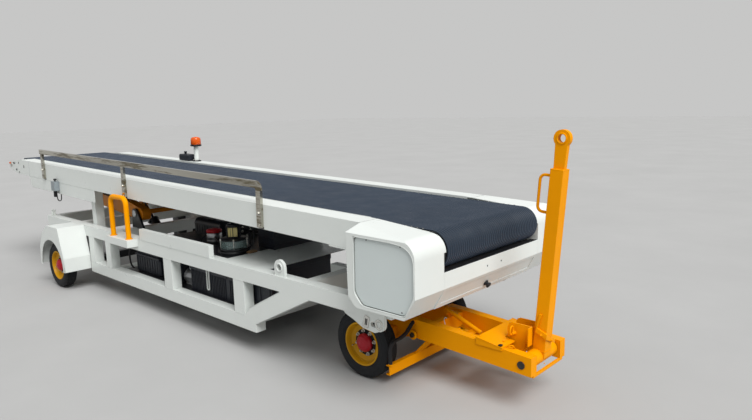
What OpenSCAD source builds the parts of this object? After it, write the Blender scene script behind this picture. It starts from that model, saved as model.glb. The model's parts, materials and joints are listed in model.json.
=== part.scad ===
// Towable baggage belt loader, millimetres, +X towards the drawbar, +Y left, +Z up, ground at z = 0.

/* [Layout] */
// front axle position along the object
front_axle_x = 2152; // [2000:1:2400]
// distance between the axles
wheelbase = 3660; // [3200:10:4200]
// outer radius of every tyre
tyre_r = 216; // [190:1:250]
// width of every tyre
tyre_w = 112; // [90:1:140]
// middle of the front tyres from the centre plane
front_track_half = 374; // [330:1:420]
// middle of the rear tyres from the centre plane
rear_track_half = 790; // [740:1:840]

/* [Chassis] */
// outer face of the side rails from the centre plane
chassis_half = 640; // [580:5:680]
// width of the rail tubes
rail_w = 80; // [60:5:100]
// height of the rail tubes
rail_h = 100; // [80:5:120]
// underside of the upper rails
upper_z = 506; // [480:2:540]
// underside of the lower rails
lower_z = 166; // [140:2:200]
// rear end of the upper rails
rail_rear = -4366; // [-4500:5:-4200]
// front end of the upper rails
rail_front = 172; // [150:1:200]
// rear end of the lower rails
lower_rear = -3366; // [-3450:1:-3200]
// front corner of the lower rails
lower_front = -895; // [-950:1:-850]
// front end of the sloping struts, on the upper rail
strut_front = -220; // [-300:1:-180]
// raised strip on the rails: rear end, front end and height
coaming_x0 = -2340; // [-2500:5:-2200]
coaming_x1 = -1295; // [-1350:1:-1150]
coaming_h = 90; // [60:1:110]
// centre of the front lifting lugs
lug_x = -509; // [-560:1:-460]
// bore radius of the lifting lugs
lug_hole_r = 20; // [12:0.5:25]
// height, outer radius, thickness and inset of the lifting lugs
lug_h = 106; // [80:1:130]
lug_r = 50; // [40:1:60]
lug_t = 20; // [12:1:30]
lug_inset = 12; // [0:1:30]

// posts that carry the lowered boom: middle along the object
rest_x = -3380; // [-3500:5:-3200]
// grab handles: rear leg, front leg and top
handle_x0 = -2715; // [-2800:5:-2600]
handle_x1 = -2435; // [-2500:5:-2350]
handle_top = 950; // [850:5:1000]
// outer face of the fenders from the centre plane
fender_half = 886; // [870:1:900]

/* [Front casings] */
// outer face of the casings from the centre plane
case_half = 738; // [700:1:760]
// inner wall of the casings from the centre plane
case_inner = 496; // [494:1:520]
// rear and front face of the casings
case_x0 = 221; // [215:1:240]
case_x1 = 688; // [670:1:710]
// underside of the casings and their top at the outer edge
case_z0 = 590; // [585:1:600]
case_z1 = 998; // [980:1:1005]
// radius of the front top corner
case_r = 96; // [80:1:100]
// depth of the recessed side panels
panel_deep = 12; // [4:1:20]

/* [Boom] */
// boom pivot, which is also the front drum axis
boom_pivot_x = 590; // [560:1:620]
boom_pivot_z = 905; // [880:1:930]
// slope of the lowered boom, front end low
boom_rest_deg = 1.4; // [0:0.1:3]
// front drum radius without the belt
drum_r = 100; // [80:1:115]
// belt width and thickness
belt_w = 944; // [900:2:960]
belt_t = 6; // [4:0.5:10]
// side beam: outer face, depth under its top
beam_half = 620; // [600:1:630]
beam_h = 164; // [150:1:190]
// length from the pivot back to the end of the parallel beams
beam_len = 5400; // [5200:10:5600]
// front end of the beams behind the pivot
beam_front = 430; // [425:1:500]
// deeper rear skirt: length and depth below the beam
skirt_len = 1620; // [1000:10:1900]
skirt_h = 112; // [60:1:130]
// nose, from the end of the beams to its drum
nose_run = 560; // [480:10:640]
nose_drum_r = 42; // [35:1:60]
// full-height part of the nose, and its tip past the drum
nose_full = 270; // [200:10:320]
nose_tip = 50; // [30:1:100]
// guard rail: top over the beam, width of its flat bar, bar thickness
rail_rise = 150; // [110:1:180]
rail_bar = 46; // [30:1:60]
rail_flat = 20; // [10:1:30]

/* [Lift] */
// lift frame pivot on the chassis
lift_pivot_x = -2900; // [-3000:5:-2800]
lift_pivot_z = 735; // [700:1:760]
// arm length and rest angle above level
lift_len = 1500; // [1300:10:1800]
lift_rest_deg = 5; // [0:0.5:10]
// middle of each arm from the centre plane
lift_half = 330; // [250:5:400]
// cylinder base pin, and its eye on the frame
cyl_base_x = -3000; // [-3200:5:-2800]
cyl_base_z = 290; // [260:2:320]
cyl_eye_x = -3500; // [-3600:5:-3300]
cyl_eye_z = 742; // [700:2:780]

/* [Drawbar] */
// drawbar pivot on the bogie
draw_pivot_x = 236; // [228:1:250]
draw_pivot_z = 270; // [260:1:280]
// outer face of the drawbar rails from the centre plane
draw_half = 195; // [170:1:220]
// width of the drawbar rails
draw_rail_w = 58; // [40:1:60]
// front end of the drawbar
draw_front = 1030; // [980:1:1080]
// tow bar pivot, and how far in front of it the tube stands
tow_pivot_x = 971; // [950:1:975]
tow_offset = 13; // [0:1:16]
tow_pivot_z = 272; // [255:1:300]
// tow bar tube, its length and lean
tow_tube = 72; // [60:1:90]
tow_len = 1045; // [900:5:1200]
tow_lean_deg = 4.6; // [0:0.1:6]
// forged eye: outer and bore radius, thickness
eye_r = 46; // [40:1:60]
eye_hole_r = 22; // [15:0.5:30]
eye_t = 30; // [20:1:40]
// centre of the eye above the end of the tube
eye_rise = 160; // [120:5:200]

/* [Hidden] */
$fn = 64;
gap = 5;
pin_fit = 0.05;
white = [0.93, 0.94, 0.92];
yellow = [1.0, 0.66, 0.02];
dark = [0.1, 0.1, 0.11];
steel = [0.7, 0.7, 0.7];
belt_half = belt_w / 2;
rear_axle_x = -wheelbase;
upper_top = upper_z + rail_h;
lower_top = lower_z + rail_h;
inner_half = chassis_half - rail_w;
belt_r = drum_r + belt_t;
nose_len = beam_len + nose_run;
tow_top = tow_len;
rail_in = draw_half - draw_rail_w;

module at_axle() translate([front_axle_x, 0, 0]) children();
module both() { children(); mirror([0, 1, 0]) children(); }
// upright plate with its outline in x and z, between two y values
module plate_xz(y0, y1, pts)
  translate([0, y1, 0]) rotate([90, 0, 0]) linear_extrude(y1 - y0) polygon(pts);
module block(x0, x1, y0, y1, z0, z1) translate([x0, y0, z0]) cube([x1 - x0, y1 - y0, z1 - z0]);
module rod_y(x, z, r, y0, y1) translate([x, y1, z]) rotate([90, 0, 0]) cylinder(r = r, h = y1 - y0);
module rod_z(x, y, r, z0, z1) translate([x, y, z0]) cylinder(r = r, h = z1 - z0);
module rod_x(y, z, r, x0, x1) translate([x0, y, z]) rotate([0, 90, 0]) cylinder(r = r, h = x1 - x0);
// upright plate with its outline in y and z, between two x values
module plate_yz(x0, x1, pts) translate([x0, 0, 0]) rotate([90, 0, 90]) linear_extrude(x1 - x0) polygon(pts);
// quarter bend of a round bar in the x and z plane, about a centre, from a start angle
module bend(x, y, z, r, bar, from) translate([x, y, z]) rotate([90, 0, 0]) rotate([0, 0, from])
  rotate_extrude(angle = 90) translate([r, 0]) circle(r = bar);

// posts of the side truss: rear edge, width
posts = [[-3366, 110], [-3016, 97], [-1972, 120], [-1014, 120]];
// cross tubes at the upper rail level: rear edge, width
cross_tubes = [[-4366, 80], [-3700, 80], [-2940, 80], [-1190, 80], [-325, 80], [92, 80]];
// cross tubes at the lower rail level: rear edge, width
low_tubes = [[-3040, 80], [-1960, 80], [-990, 80]];

module side_frames() color(white) at_axle() both() union() {
  block(rail_rear, rail_front, -chassis_half, -inner_half, upper_z, upper_top);
  block(rail_front - 1, case_x1 - 260, -chassis_half + 20, -inner_half, upper_z + 14, case_z0);
  block(lower_rear, lower_front + 120, -chassis_half, -inner_half, lower_z, lower_top);
  plate_xz(-chassis_half, -inner_half, [[lower_front, lower_z], [strut_front, upper_z], [strut_front - 280, upper_z],
    [lower_front + 67, lower_z + 168], [lower_front, lower_top]]);
  for (p = posts) block(p[0], p[0] + p[1], -chassis_half, -inner_half, lower_z + 1, upper_z + 1);
  block(coaming_x0, coaming_x1, -chassis_half, -chassis_half + 40, upper_top, upper_top + coaming_h);
}
module cross_members() color(white) at_axle() {
  for (c = cross_tubes) block(c[0], c[0] + c[1], -inner_half, inner_half, upper_z, upper_top - 2);
  for (c = low_tubes) block(c[0], c[0] + c[1], -inner_half, inner_half, lower_z, lower_top - 20);
  block(-1110, -708, -inner_half, inner_half, upper_top - 6, upper_top);
}
// lengthwise bars over the turntable, each between two cross tubes
module front_subframe() color(white) at_axle() both()
  for (s = [[-490, -325], [-245, 92]]) block(s[0], s[1], -200, -140, upper_z, upper_top - 4);

module lug(x, y, h, r, t) difference() {
  union() {
    block(x - r, x + r, y, y + t, upper_top, upper_top + h - r);
    rod_y(x, upper_top + h - r, r, y, y + t);
  }
  rod_y(x, upper_top + h - r, lug_hole_r, y - 1, y + t + 1);
}

module lifting_lugs() color(white) at_axle() both() {
  lug(lug_x, -chassis_half + lug_inset, lug_h, lug_r, lug_t);
  translate([-4300, -chassis_half + 20, upper_top]) cube([12, 40, 60]);
}

module fender() {
  difference() {
    plate_xz(-fender_half, -chassis_half, [[-3960, 200], [-3935, 380], [-3850, 520], [-3720, 604], [-3453, 608],
      [-3371, 325], [-3371, 195]]);
    plate_xz(-fender_half + 5, -chassis_half + 1, [[-3955, 190], [-3930, 378], [-3846, 516], [-3718, 599], [-3457, 603],
      [-3376, 324], [-3376, 190]]);
    translate([0, -fender_half + 6, tyre_r]) rotate([90, 0, 0]) linear_extrude(20) translate([rear_axle_x, 0]) union() {
      circle(r = 258);
      translate([-258, -300]) square([516, 300]);
    }
  }
}
module fenders() color(white) at_axle() both() fender();

// casing outline seen from the side, at its inner and higher edge
case_side = [[case_x0 - 10, case_z1 + 34], [case_x1 - case_r, boom_pivot_z + case_r],
  [case_x1 - case_r, boom_pivot_z], [case_x1, boom_pivot_z], [case_x1, 711], [case_x1 - 74, case_z0],
  [case_x0 + 64, case_z0], [case_x0 + 50, case_z0 + 4], [case_x0, 643]];
case_panel = [[268, 982], [532, 981], [614, 973], [661, 945], [680, 904], [682, 722], [620, 609], [319, 609], [263, 673]];
module case_form(y0, y1) {
  plate_xz(y0, y1, case_side);
  rod_y(case_x1 - case_r, boom_pivot_z, case_r, y0, y1);
}
// everything above the sloping top sheet, which falls outwards and forwards
module case_slope() translate([case_x0, -case_half, case_z1]) rotate([16.2, 0.7, 0])
  translate([-300, -200, 0]) cube([1200, 900, 400]);
module front_box() difference() {
  union() {
    difference() {
      case_form(-case_half, -case_inner);
      case_slope();
    }
    intersection() {
      difference() {
        case_form(-case_inner - 1, -belt_half - 6);
        translate([-5, 0, -5]) case_form(-case_inner - 2, -belt_half - 5);
      }
      block(0, 800, -case_inner - 1, 0, boom_pivot_z, 1100);
    }
  }
  plate_xz(-case_half - 1, -case_half + panel_deep, case_panel);
  rod_y(boom_pivot_x, boom_pivot_z, 25 + pin_fit, -case_inner - 20, -case_inner + 0.5);
}
module front_boxes() color(white) at_axle() both() front_box();

// cross plate between the casings, with a shallow panel on its slope
module cross_plate() color(white) at_axle() difference() {
  plate_xz(-case_inner, case_inner, [[case_x1 - 82, case_z0], [case_x1 - 66, case_z0], [case_x1, 711], [case_x1, 800],
    [case_x1 - 48, 800], [case_x1 - 48, 794], [case_x1 - 6, 794], [case_x1 - 6, 713], [case_x1 - 71, case_z0 + 6],
    [case_x1 - 82, case_z0 + 6]]);
  plate_xz(-470, 470, [[case_x1 - 50, 614], [case_x1 - 9, 689], [case_x1 - 14, 692], [case_x1 - 55, 617]]);
  for (y = [-87, 60]) rod_x(y, 753, 5, case_x1 - 10, case_x1 + 1);
}

module handle() {
  r = 21;
  x0 = handle_x0;
  x1 = handle_x1;
  y = -chassis_half - 46;
  top = handle_top;
  bend = 62;
  rod_z(x0, y, r, upper_top, top - bend);
  rod_z(x1, y, r, upper_top, top - bend);
  translate([x0 + bend, y, top - bend]) rotate([90, 0, 0]) rotate([0, 0, 90]) rotate_extrude(angle = 90)
    translate([bend, 0]) circle(r = r);
  translate([x1 - bend, y, top - bend]) rotate([90, 0, 0]) rotate_extrude(angle = 90) translate([bend, 0]) circle(r = r);
  translate([x0 + bend, y, top]) rotate([0, 90, 0]) cylinder(r = r, h = x1 - x0 - 2 * bend);
}
module grab_handles() color(yellow) at_axle() both() handle();
module handle_shelves() color(white) at_axle() both()
  block(handle_x0 - 65, handle_x1 + 60, -chassis_half - 95, -chassis_half, upper_top - 62, upper_top);

module rear_axle() color(dark) at_axle() {
  both() {
    rod_y(rear_axle_x, tyre_r, 30, -rear_track_half + 62, -inner_half + 60);
    rod_y(rear_axle_x, tyre_r, 15, -rear_track_half - 10, -rear_track_half + 62);
  }
  block(rear_axle_x - 35, rear_axle_x + 35, -520, 520, tyre_r - 35, tyre_r + 35);
  both() block(rear_axle_x - 60, rear_axle_x + 60, -520, -430, tyre_r + 35, upper_z);
}

// posts that carry the lowered boom: x position, top level
rest_top = 946;
module boom_rests() color(white) at_axle() both() {
  block(rest_x - 40, rest_x + 40, -inner_half, -inner_half + 80, upper_z, rest_top - 8);
  block(rest_x - 70, rest_x + 70, -inner_half - 10, -inner_half + 90, rest_top - 8, rest_top);
}

module lift_brackets() color(dark) at_axle() both() difference() {
  plate_xz(-lift_half - 66, -lift_half - 46, [[lift_pivot_x - 60, upper_top - 2], [lift_pivot_x + 150, upper_top - 2],
    [lift_pivot_x + 45, lift_pivot_z + 25], [lift_pivot_x + 20, lift_pivot_z + 45], [lift_pivot_x - 20, lift_pivot_z + 45],
    [lift_pivot_x - 45, lift_pivot_z + 25]]);
  rod_y(lift_pivot_x, lift_pivot_z, 22 + pin_fit, -lift_half - 70, -lift_half - 40);
}

// floor plates between the rails: rear end, front end, underside, thickness
floors = [[-2860, -1000, lower_top - 20, 6], [-2300, -1190, upper_top - 8, 6]];
module deck() color(dark) at_axle() {
  for (f = floors) block(f[0], f[1], -inner_half + 20, inner_half - 20, f[2], f[2] + f[3]);
  both() for (x = [-2300, -1700, -1250]) block(x, x + 60, -inner_half, -inner_half + 20, upper_top - 40, upper_top - 2);
}

module power_unit() color(dark) at_axle() union() {
  block(-2235, -1850, -180, 220, upper_top - 2, 690);
  block(-2235, -1850, -135, 175, 689, 735);
  for (y = [-135, 175]) rod_x(y, 690, 45, -2235, -1850);
  block(-1850, -1820, -90, 130, upper_top - 2, 680);
}

// battery and control cases: rear, front, right, left, bottom, top
cases = [[-1770, -1060, -520, -200, lower_top - 14, 470], [-1321, -1125, -183, 300, upper_top - 2, 800],
  [-1000, -708, -542, 0, 330, upper_top - 6], [-2280, -1990, -480, -200, lower_top - 14, 470]];
module battery_boxes() color(dark) at_axle() {
  for (c = cases) block(c[0], c[1], c[2], c[3], c[4], c[5]);
}

module pump_set() color(steel) at_axle() rod_x(-400, lower_top + 46.3, 60, -1985, -1805);

// machinery standing on the floor: x, y, radius, bottom, top
pots = [[-1335, -395, 120, -2, 34], [-1335, -395, 105, 34, 99], [-1335, -395, 52, 99, 209], [-1747, -300, 60, -2, 109]];
module filter_bowl() color(steel) at_axle() for (p = pots) rod_z(p[0], p[1], p[2], upper_top + p[3], upper_top + p[4]);

module turntable_top() color(dark) at_axle() difference() {
  rod_z(0, 0, 190, 484, upper_z);
  rod_z(0, 0, 25 + pin_fit, 480, 510);
}

// eared plates that carry the casings, with an oval slot
module front_brackets() color(white) at_axle() both() difference() {
  union() {
    plate_xz(-chassis_half, -chassis_half + 20, [[85, upper_z], [85, 500], [105, 489], [158, 471], [230, 439],
      [322, 428], [353, 442], [393, 482], [393, case_z0], [rail_front, case_z0], [rail_front, upper_z]]);
    rod_y(353, 482, 40, -chassis_half, -chassis_half + 20);
  }
  for (x = [303, 327]) rod_y(x, 474, 13, -chassis_half - 1, -chassis_half + 21);
  block(303, 327, -chassis_half - 1, -chassis_half + 21, 461, 487);
}

module tyre(x, y) {
  r = tyre_r;
  h = tyre_w / 2;
  at_axle() translate([x, y, tyre_r]) rotate([90, 0, 0]) rotate_extrude() polygon([[138, -h + 12], [150, -h + 4],
    [172, -h], [196, -h + 3], [209, -h + 14], [r, -h + 34], [r, h - 34], [209, h - 14], [196, h - 3],
    [172, h], [150, h - 4], [138, h - 12]]);
}
module rim(x, y, s) {
  h = tyre_w / 2;
  at_axle() translate([x, y, tyre_r]) rotate([90 * s, 0, 0]) rotate_extrude() polygon([[58, 6], [112, 6],
    [122, 24], [128, h - 10], [138, h - 10], [138, -h + 10], [120, -h + 10], [112, -h + 20], [108, -4], [58, -4]]);
}
module hub(x, y, s) {
  at_axle() translate([x, y, tyre_r]) rotate([90 * s, 0, 0]) rotate_extrude() polygon([[15 + pin_fit, -30],
    [58, -30], [58, 26], [44, 44], [30, 50], [0, 50], [0, 40], [15 + pin_fit, 40]]);
}
module tyre_rl() color(dark) tyre(rear_axle_x, rear_track_half);
module rim_rl() color(yellow) rim(rear_axle_x, rear_track_half, -1);
module hub_rl() color([0.7, 0.05, 0.12]) hub(rear_axle_x, rear_track_half, -1);
module tyre_rr() color(dark) tyre(rear_axle_x, -rear_track_half);
module rim_rr() color(yellow) rim(rear_axle_x, -rear_track_half, 1);
module hub_rr() color([0.7, 0.05, 0.12]) hub(rear_axle_x, -rear_track_half, 1);
module tyre_fl() color(dark) tyre(0, front_track_half);
module rim_fl() color(yellow) rim(0, front_track_half, -1);
module hub_fl() color([0.7, 0.05, 0.12]) hub(0, front_track_half, -1);
module tyre_fr() color(dark) tyre(0, -front_track_half);
module rim_fr() color(yellow) rim(0, -front_track_half, 1);
module hub_fr() color([0.7, 0.05, 0.12]) hub(0, -front_track_half, 1);

module bogie_frame() color(yellow) at_axle() {
  union() {
    block(-40, 40, -300, 300, tyre_r - 40, tyre_r + 40);
    both() {
      rod_y(0, tyre_r, 15, -front_track_half - 10, -300);
      plate_xz(-rail_in + 5, -rail_in + 19, [[-110, 462], [170, 462], [draw_pivot_x + 20, 300],
        [draw_pivot_x + 28, draw_pivot_z], [draw_pivot_x + 20, 246], [draw_pivot_x - 6, 236], [60, 190], [-40, 176],
        [-60, 240]]);
      rod_y(draw_pivot_x, draw_pivot_z, 12, -draw_half - 12, -rail_in + 10);
      rod_y(draw_pivot_x, draw_pivot_z, 24, -draw_half - 14, -draw_half - 6);
    }
    rod_z(0, 0, 200, 462, 478);
    rod_z(0, 0, 25, 478, 506);
  }
}

// drawbar rail seen from the side
draw_side = [[205, 262], [222, 249], [280, 247], [draw_front, 217], [draw_front, 323], [360, 364], [236, 366], [205, 330]];
module drawbar_frame() color(yellow) at_axle() difference() {
  union() {
    both() plate_xz(-draw_half, -draw_half + draw_rail_w, draw_side);
    block(318, 363, -rail_in, rail_in, 262, 352);
    block(640, 690, -rail_in, rail_in, 240, 330);
    block(430, 540, -rail_in, rail_in, 246, 252);
    block(draw_front - 11, draw_front, -rail_in, rail_in, 204, 220);
    both() block(draw_front - 11, draw_front, -rail_in - 30, -rail_in, 204, 218);
  }
  both() {
    rod_y(draw_pivot_x, draw_pivot_z, 12 + pin_fit, -draw_half - 1, -draw_half + draw_rail_w + 1);
    rod_y(tow_pivot_x, tow_pivot_z, 20 + pin_fit, -draw_half - 1, -draw_half + draw_rail_w + 1);
  }
}

// rear-facing channel in front of the tyres, on two leaning straps
module brake_bar() color(yellow) at_axle() union() {
  difference() {
    block(210, 238, -430, 430, 81, 141);
    block(205, 232, -435, 435, 87, 135);
  }
  both() plate_xz(-190, -100, [[222, 140], [237, 140], [338, 244.3], [321, 245]]);
}

// slanting strut with its upright bracket on the rear cross piece
module drawbar_strut() color(yellow) at_axle() union() {
  plate_xz(-10, 10, [[320, 352], [361, 352], [361, 398], [340, 414], [320, 398]]);
  translate([345, 0, 398]) rotate([0, 110.7, 0]) cylinder(r = 14, h = 265);
}

// wedge-shaped saddle on the rails, with upright lock plates behind the tow bar and the lock pin
lock_side = [[803, 250], [900, 250], [915, 262], [915, 335], [946, 335], [952, 440], [828, 440], [811, 433], [803, 416]];
module tow_latch() color(yellow) at_axle() union() {
  both() plate_xz(-draw_half - 5, -draw_half, [[686, 321], [686, 364], [855, 340], [855, 322]]);
  difference() {
    plate_xz(-draw_half - 5, draw_half + 5, [[686, 358], [686, 364], [855, 340], [855, 334]]);
    block(790, 860, -60, 60, 300, 400);
  }
  both() {
    plate_xz(-50, -42, lock_side);
    block(946, 952, -88, -42, 335, 440);
    block(803, 811, -rail_in, -42, 250, 320);
  }
  rod_y(846, 383, 8, -78, 60);
}

// brake hose in front of the right tyre: points of its middle in y and z, from the rail to the bar
hose_x = 236;
hose_r = 12;
hose = [[-195.3, 352], [-206, 350], [-220, 342], [-236, 328], [-254, 313], [-276, 299], [-302, 289], [-330, 284], [-360, 282],
  [-386, 279], [-406, 269], [-417, 251], [-421, 228], [-421, 200], [-421, 170], [-421, 141.3]];
function hose_dir(i) = let (a = hose[max(i - 1, 0)], b = hose[min(i + 1, len(hose) - 1)], d = b - a) d / norm(d);
function hose_ring(i) = let (d = i == 0 ? [-1, 0] : i == len(hose) - 1 ? [0, -1] : hose_dir(i))
  [for (k = [0:9]) [hose_x + hose_r * cos(36 * k), hose[i][0] - d[1] * hose_r * sin(36 * k),
    hose[i][1] + d[0] * hose_r * sin(36 * k)]];
module brake_hose() color(dark) at_axle() {
  n = len(hose);
  polyhedron(points = [for (i = [0:n - 1]) each hose_ring(i)], faces = concat([[for (k = [0:9]) k]],
    [for (i = [0:n - 2]) for (k = [0:9]) [10 * i + k, 10 * i + 10 + k, 10 * i + 10 + (k + 1) % 10, 10 * i + (k + 1) % 10]],
    [[for (k = [9:-1:0]) 10 * (n - 1) + k]]));
}

module on_tow() at_axle() translate([tow_pivot_x, 0, tow_pivot_z]) rotate([0, tow_lean_deg, 0]) children();
module tow_tube_bar() color(yellow) on_tow() union() {
  h = tow_tube / 2;
  rod_y(0, 0, 44, -rail_in + 6, rail_in - 6);
  rod_y(0, 0, 20, -draw_half - 4, draw_half + 4);
  translate([-h + tow_offset, -h, 0]) cube([tow_tube, tow_tube, tow_top]);
}
module tow_eye() color(yellow) on_tow() translate([tow_offset, 0, 0]) difference() {
  union() {
    plate_xz(-eye_t / 2, eye_t / 2, [[-30, tow_top], [30, tow_top], [eye_r - 12, tow_top + eye_rise - 20],
      [-eye_r + 12, tow_top + eye_rise - 20]]);
    rod_y(0, tow_top + eye_rise, eye_r, -eye_t / 2, eye_t / 2);
  }
  rod_y(0, tow_top + eye_rise, eye_hole_r, -20, 20);
}
// round-cornered pull handle on the back of the tube, and the bent release lever round its front
module tow_handle() color(yellow) on_tow() {
  x = tow_offset - tow_tube / 2;
  z0 = tow_top - 240;
  z1 = tow_top - 40;
  union() {
    for (z = [z0, z1]) translate([x - 40, 0, z]) rotate([0, 90, 0]) cylinder(r = 8, h = 40);
    bend(x - 40, 0, z0 + 30, 30, 8, 180);
    bend(x - 40, 0, z1 - 30, 30, 8, 90);
    translate([x - 70, 0, z0 + 30]) cylinder(r = 8, h = z1 - z0 - 60);
  }
  f = tow_offset + tow_tube / 2;
  union() {
    plate_xz(-tow_tube / 2 - 12, -tow_tube / 2, [[f - 62, 142], [f + 8, 118], [f + 8, 148], [f - 52, 168], [f - 34, 250], [f - 48, 250]]);
    plate_yz(f, f + 8, [[-tow_tube / 2 - 12, 118], [-tow_tube / 2 - 12, 148], [62, 92], [62, 70]]);
  }
}

// boom parts are drawn level with the pivot at the origin
module on_boom() at_axle() translate([boom_pivot_x, 0, boom_pivot_z]) rotate([0, boom_rest_deg, 0]) children();
beam_top = belt_r + 12;
beam_z0 = beam_top - beam_h;
module boom_beams() color(white) on_boom() both()
  block(-beam_len, -beam_front, -beam_half, -belt_half - 6, beam_z0, beam_top);
// what hangs on the side beams: rear skirts, front cheeks and the arms to the pivot pins
arm_side = [[-beam_front, beam_z0 + 4], [-beam_front, 60], [-beam_front + 8, 60], [-392, -6], [-200, 14], [-28, 41], [-28, -41],
  [-200, -60], [-392, -54]];
module boom_skirts() color(white) on_boom() both() {
  plate_xz(-beam_half, -beam_half + 5, [[-beam_len, beam_z0], [-beam_len + skirt_len, beam_z0],
    [-beam_len + skirt_len, beam_z0 - skirt_h], [-beam_len + 40, beam_z0 - skirt_h], [-beam_len, beam_z0 - skirt_h + 30]]);
  union() {
    plate_xz(-beam_half, -beam_half + 5, [[-635, beam_z0 - 10], [-635, beam_z0], [-beam_front, beam_z0], [-beam_front, beam_top],
      [-389, beam_top], [-404, 45], [-404, 20], [-388, beam_z0], [-388, beam_z0 - 10]]);
    block(-beam_front, -390, -beam_half + 4, -belt_half - 6, beam_top - 5, beam_top);
  }
  union() {
    plate_xz(-case_inner + 6, -belt_half - 6, arm_side);
    rod_y(0, 0, 50, -case_inner + 6, -belt_half - 6);
    rod_y(0, 0, 25, -case_inner - 18, -belt_half - 6);
  }
}
module boom_bed() color(white) on_boom() {
  block(-nose_len + 80, -130, -belt_half, belt_half, belt_r - belt_t - 4.3, belt_r - belt_t - 0.3);
  for (x = [-beam_len + 200:1000:-1000]) block(x, x + 60, -belt_half - 6, belt_half + 6, 24, belt_r - belt_t - 4.3);
}
module belt() color([0.24, 0.28, 0.34]) on_boom() {
  ro = belt_r;
  rn = nose_drum_r + belt_t;
  difference() {
    union() {
      rod_y(0, 0, ro, -belt_half, belt_half);
      rod_y(-nose_len, ro - rn, rn, -belt_half, belt_half);
      block(-nose_len, 0, -belt_half, belt_half, ro - 2 * rn, ro);
      plate_xz(-belt_half, belt_half, [[0, -ro], [0, ro - 1], [-900, ro - 1], [-900, ro - 2 * rn]]);
    }
    rod_y(0, 0, ro - belt_t, -belt_half - 1, belt_half + 1);
    rod_y(-nose_len, ro - rn, rn - belt_t, -belt_half - 1, belt_half + 1);
    block(-nose_len, 0, -belt_half - 1, belt_half + 1, ro - 2 * rn + belt_t, ro - belt_t);
    plate_xz(-belt_half - 1, belt_half + 1, [[0, -ro + belt_t], [0, ro - belt_t - 1], [-900, ro - belt_t - 1],
      [-900, ro - 2 * rn + belt_t]]);
  }
}
module drums() color(steel) on_boom() {
  rod_y(0, 0, drum_r - 0.3, -belt_half + 4, belt_half - 4);
  rod_y(-nose_len, belt_r - nose_drum_r - belt_t, nose_drum_r - 0.3, -belt_half + 4, belt_half - 4);
}
module boom_nose() color(white) on_boom() both()
  plate_xz(-beam_half, -belt_half - 6, [[-beam_len, beam_z0], [-beam_len, beam_top], [-beam_len - nose_full + 47, beam_top],
    [-nose_len + 10, 84], [-nose_len - nose_tip + 22, 74], [-nose_len - nose_tip, 52], [-nose_len - nose_tip, 8],
    [-nose_len + 10, -16], [-beam_len - nose_full - 38, beam_z0]]);
module nose_bumpers() color(dark) on_boom() both()
  block(-nose_len - nose_tip - 12, -nose_len - nose_tip, -beam_half + 10, -belt_half - 16, 12, 48);
// guard rail on the right: middle of its posts behind the pivot
rail_posts = [-4950, -3150, -1270];
module guard_rail() color(steel) on_boom() translate([0, -beam_half, 0]) rotate([90, 0, 0]) linear_extrude(rail_flat) union() {
  w = rail_bar;
  x1 = rail_posts[2] + w / 2;
  z1 = beam_top + rail_rise;
  r = 60;
  for (x = rail_posts) translate([x - w / 2, beam_z0 + 12]) square([w, z1 - r - beam_z0 - 12]);
  for (x = [rail_posts[0], rail_posts[1]]) translate([x - w / 2, z1 - r - 1]) square([w, r]);
  translate([rail_posts[0] - 50, z1 - w]) square([x1 - r - rail_posts[0] + 50, w]);
  translate([x1 - r, z1 - r]) intersection() {
    difference() {
      circle(r = r);
      circle(r = r - w);
    }
    square([r, r]);
  }
}
// warning lamp on its pole: x position, lamp radius
beacon_x = -3965;
beacon_r = 57;
module beacon_post() color(white) on_boom() rod_z(beacon_x, beam_half - 50, 25, beam_top, beam_top + 160);
module beacon_lamp() color([1, 0.4, 0.05]) on_boom() rod_z(beacon_x, beam_half - 50, beacon_r, beam_top + 160, beam_top + 258);
module switch_boxes() color([0.6, 0.62, 0.64]) on_boom() both()
  block(-beam_len + 730, -beam_len + 810, -beam_half - 48, -beam_half, beam_z0 - 80, beam_z0 + 12);

module on_lift() at_axle() translate([lift_pivot_x, 0, lift_pivot_z]) rotate([0, lift_rest_deg, 0]) children();
module lift_frame() color(yellow) on_lift() union() {
  both() {
    plate_xz(-lift_half - 40, -lift_half + 40, [[52, -59], [52, 55], [-158, 80], [-853, 53], [-lift_len - 40, 50],
      [-lift_len - 60, 30], [-lift_len - 60, 0], [-lift_len - 30, -30], [-844, -51]]);
    rod_y(52, -2, 57, -lift_half - 40, -lift_half + 40);
  }
  rod_y(0, 0, 22, -lift_half - 70, lift_half + 70);
  rod_y(-lift_len, 20, 34, -lift_half, lift_half);
  rod_y(-598, 26, 34, -lift_half, lift_half);
  both() plate_xz(-34, -20.3, [[-632, 20], [-564, 20], [-572, -75], [-624, -75]]);
}

module cylinder_feet() color(dark) at_axle() union() {
  both() plate_xz(-38, -25.3, [[-3038, lower_top - 20], [-2962, lower_top - 20], [-2975, cyl_base_z + 22], [-3025, cyl_base_z + 22]]);
  rod_y(cyl_base_x, cyl_base_z, 14, -38, 38);
}
module lift_barrel() color(dark) at_axle() {
  a = atan2(cyl_eye_x - cyl_base_x, cyl_eye_z - cyl_base_z);
  translate([cyl_base_x, 0, cyl_base_z]) rotate([0, a, 0]) difference() {
    union() {
      translate([0, 0, 40]) cylinder(r = 45, h = 390);
      block(-22, 22, -25, 25, 0, 42);
      rod_y(0, 0, 30, -25, 25);
    }
    rod_y(0, 0, 14 + pin_fit, -26, 26);
    translate([0, 0, 60]) cylinder(r = 20 + pin_fit, h = 400);
  }
}
module lift_rod() color(steel) at_axle() {
  a = atan2(cyl_eye_x - cyl_base_x, cyl_eye_z - cyl_base_z);
  l = sqrt(pow(cyl_eye_x - cyl_base_x, 2) + pow(cyl_eye_z - cyl_base_z, 2));
  translate([cyl_base_x, 0, cyl_base_z]) rotate([0, a, 0]) union() {
    translate([0, 0, 80]) cylinder(r = 20, h = l - 90);
    rod_y(0, l, 30, -20, 20);
  }
}

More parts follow.
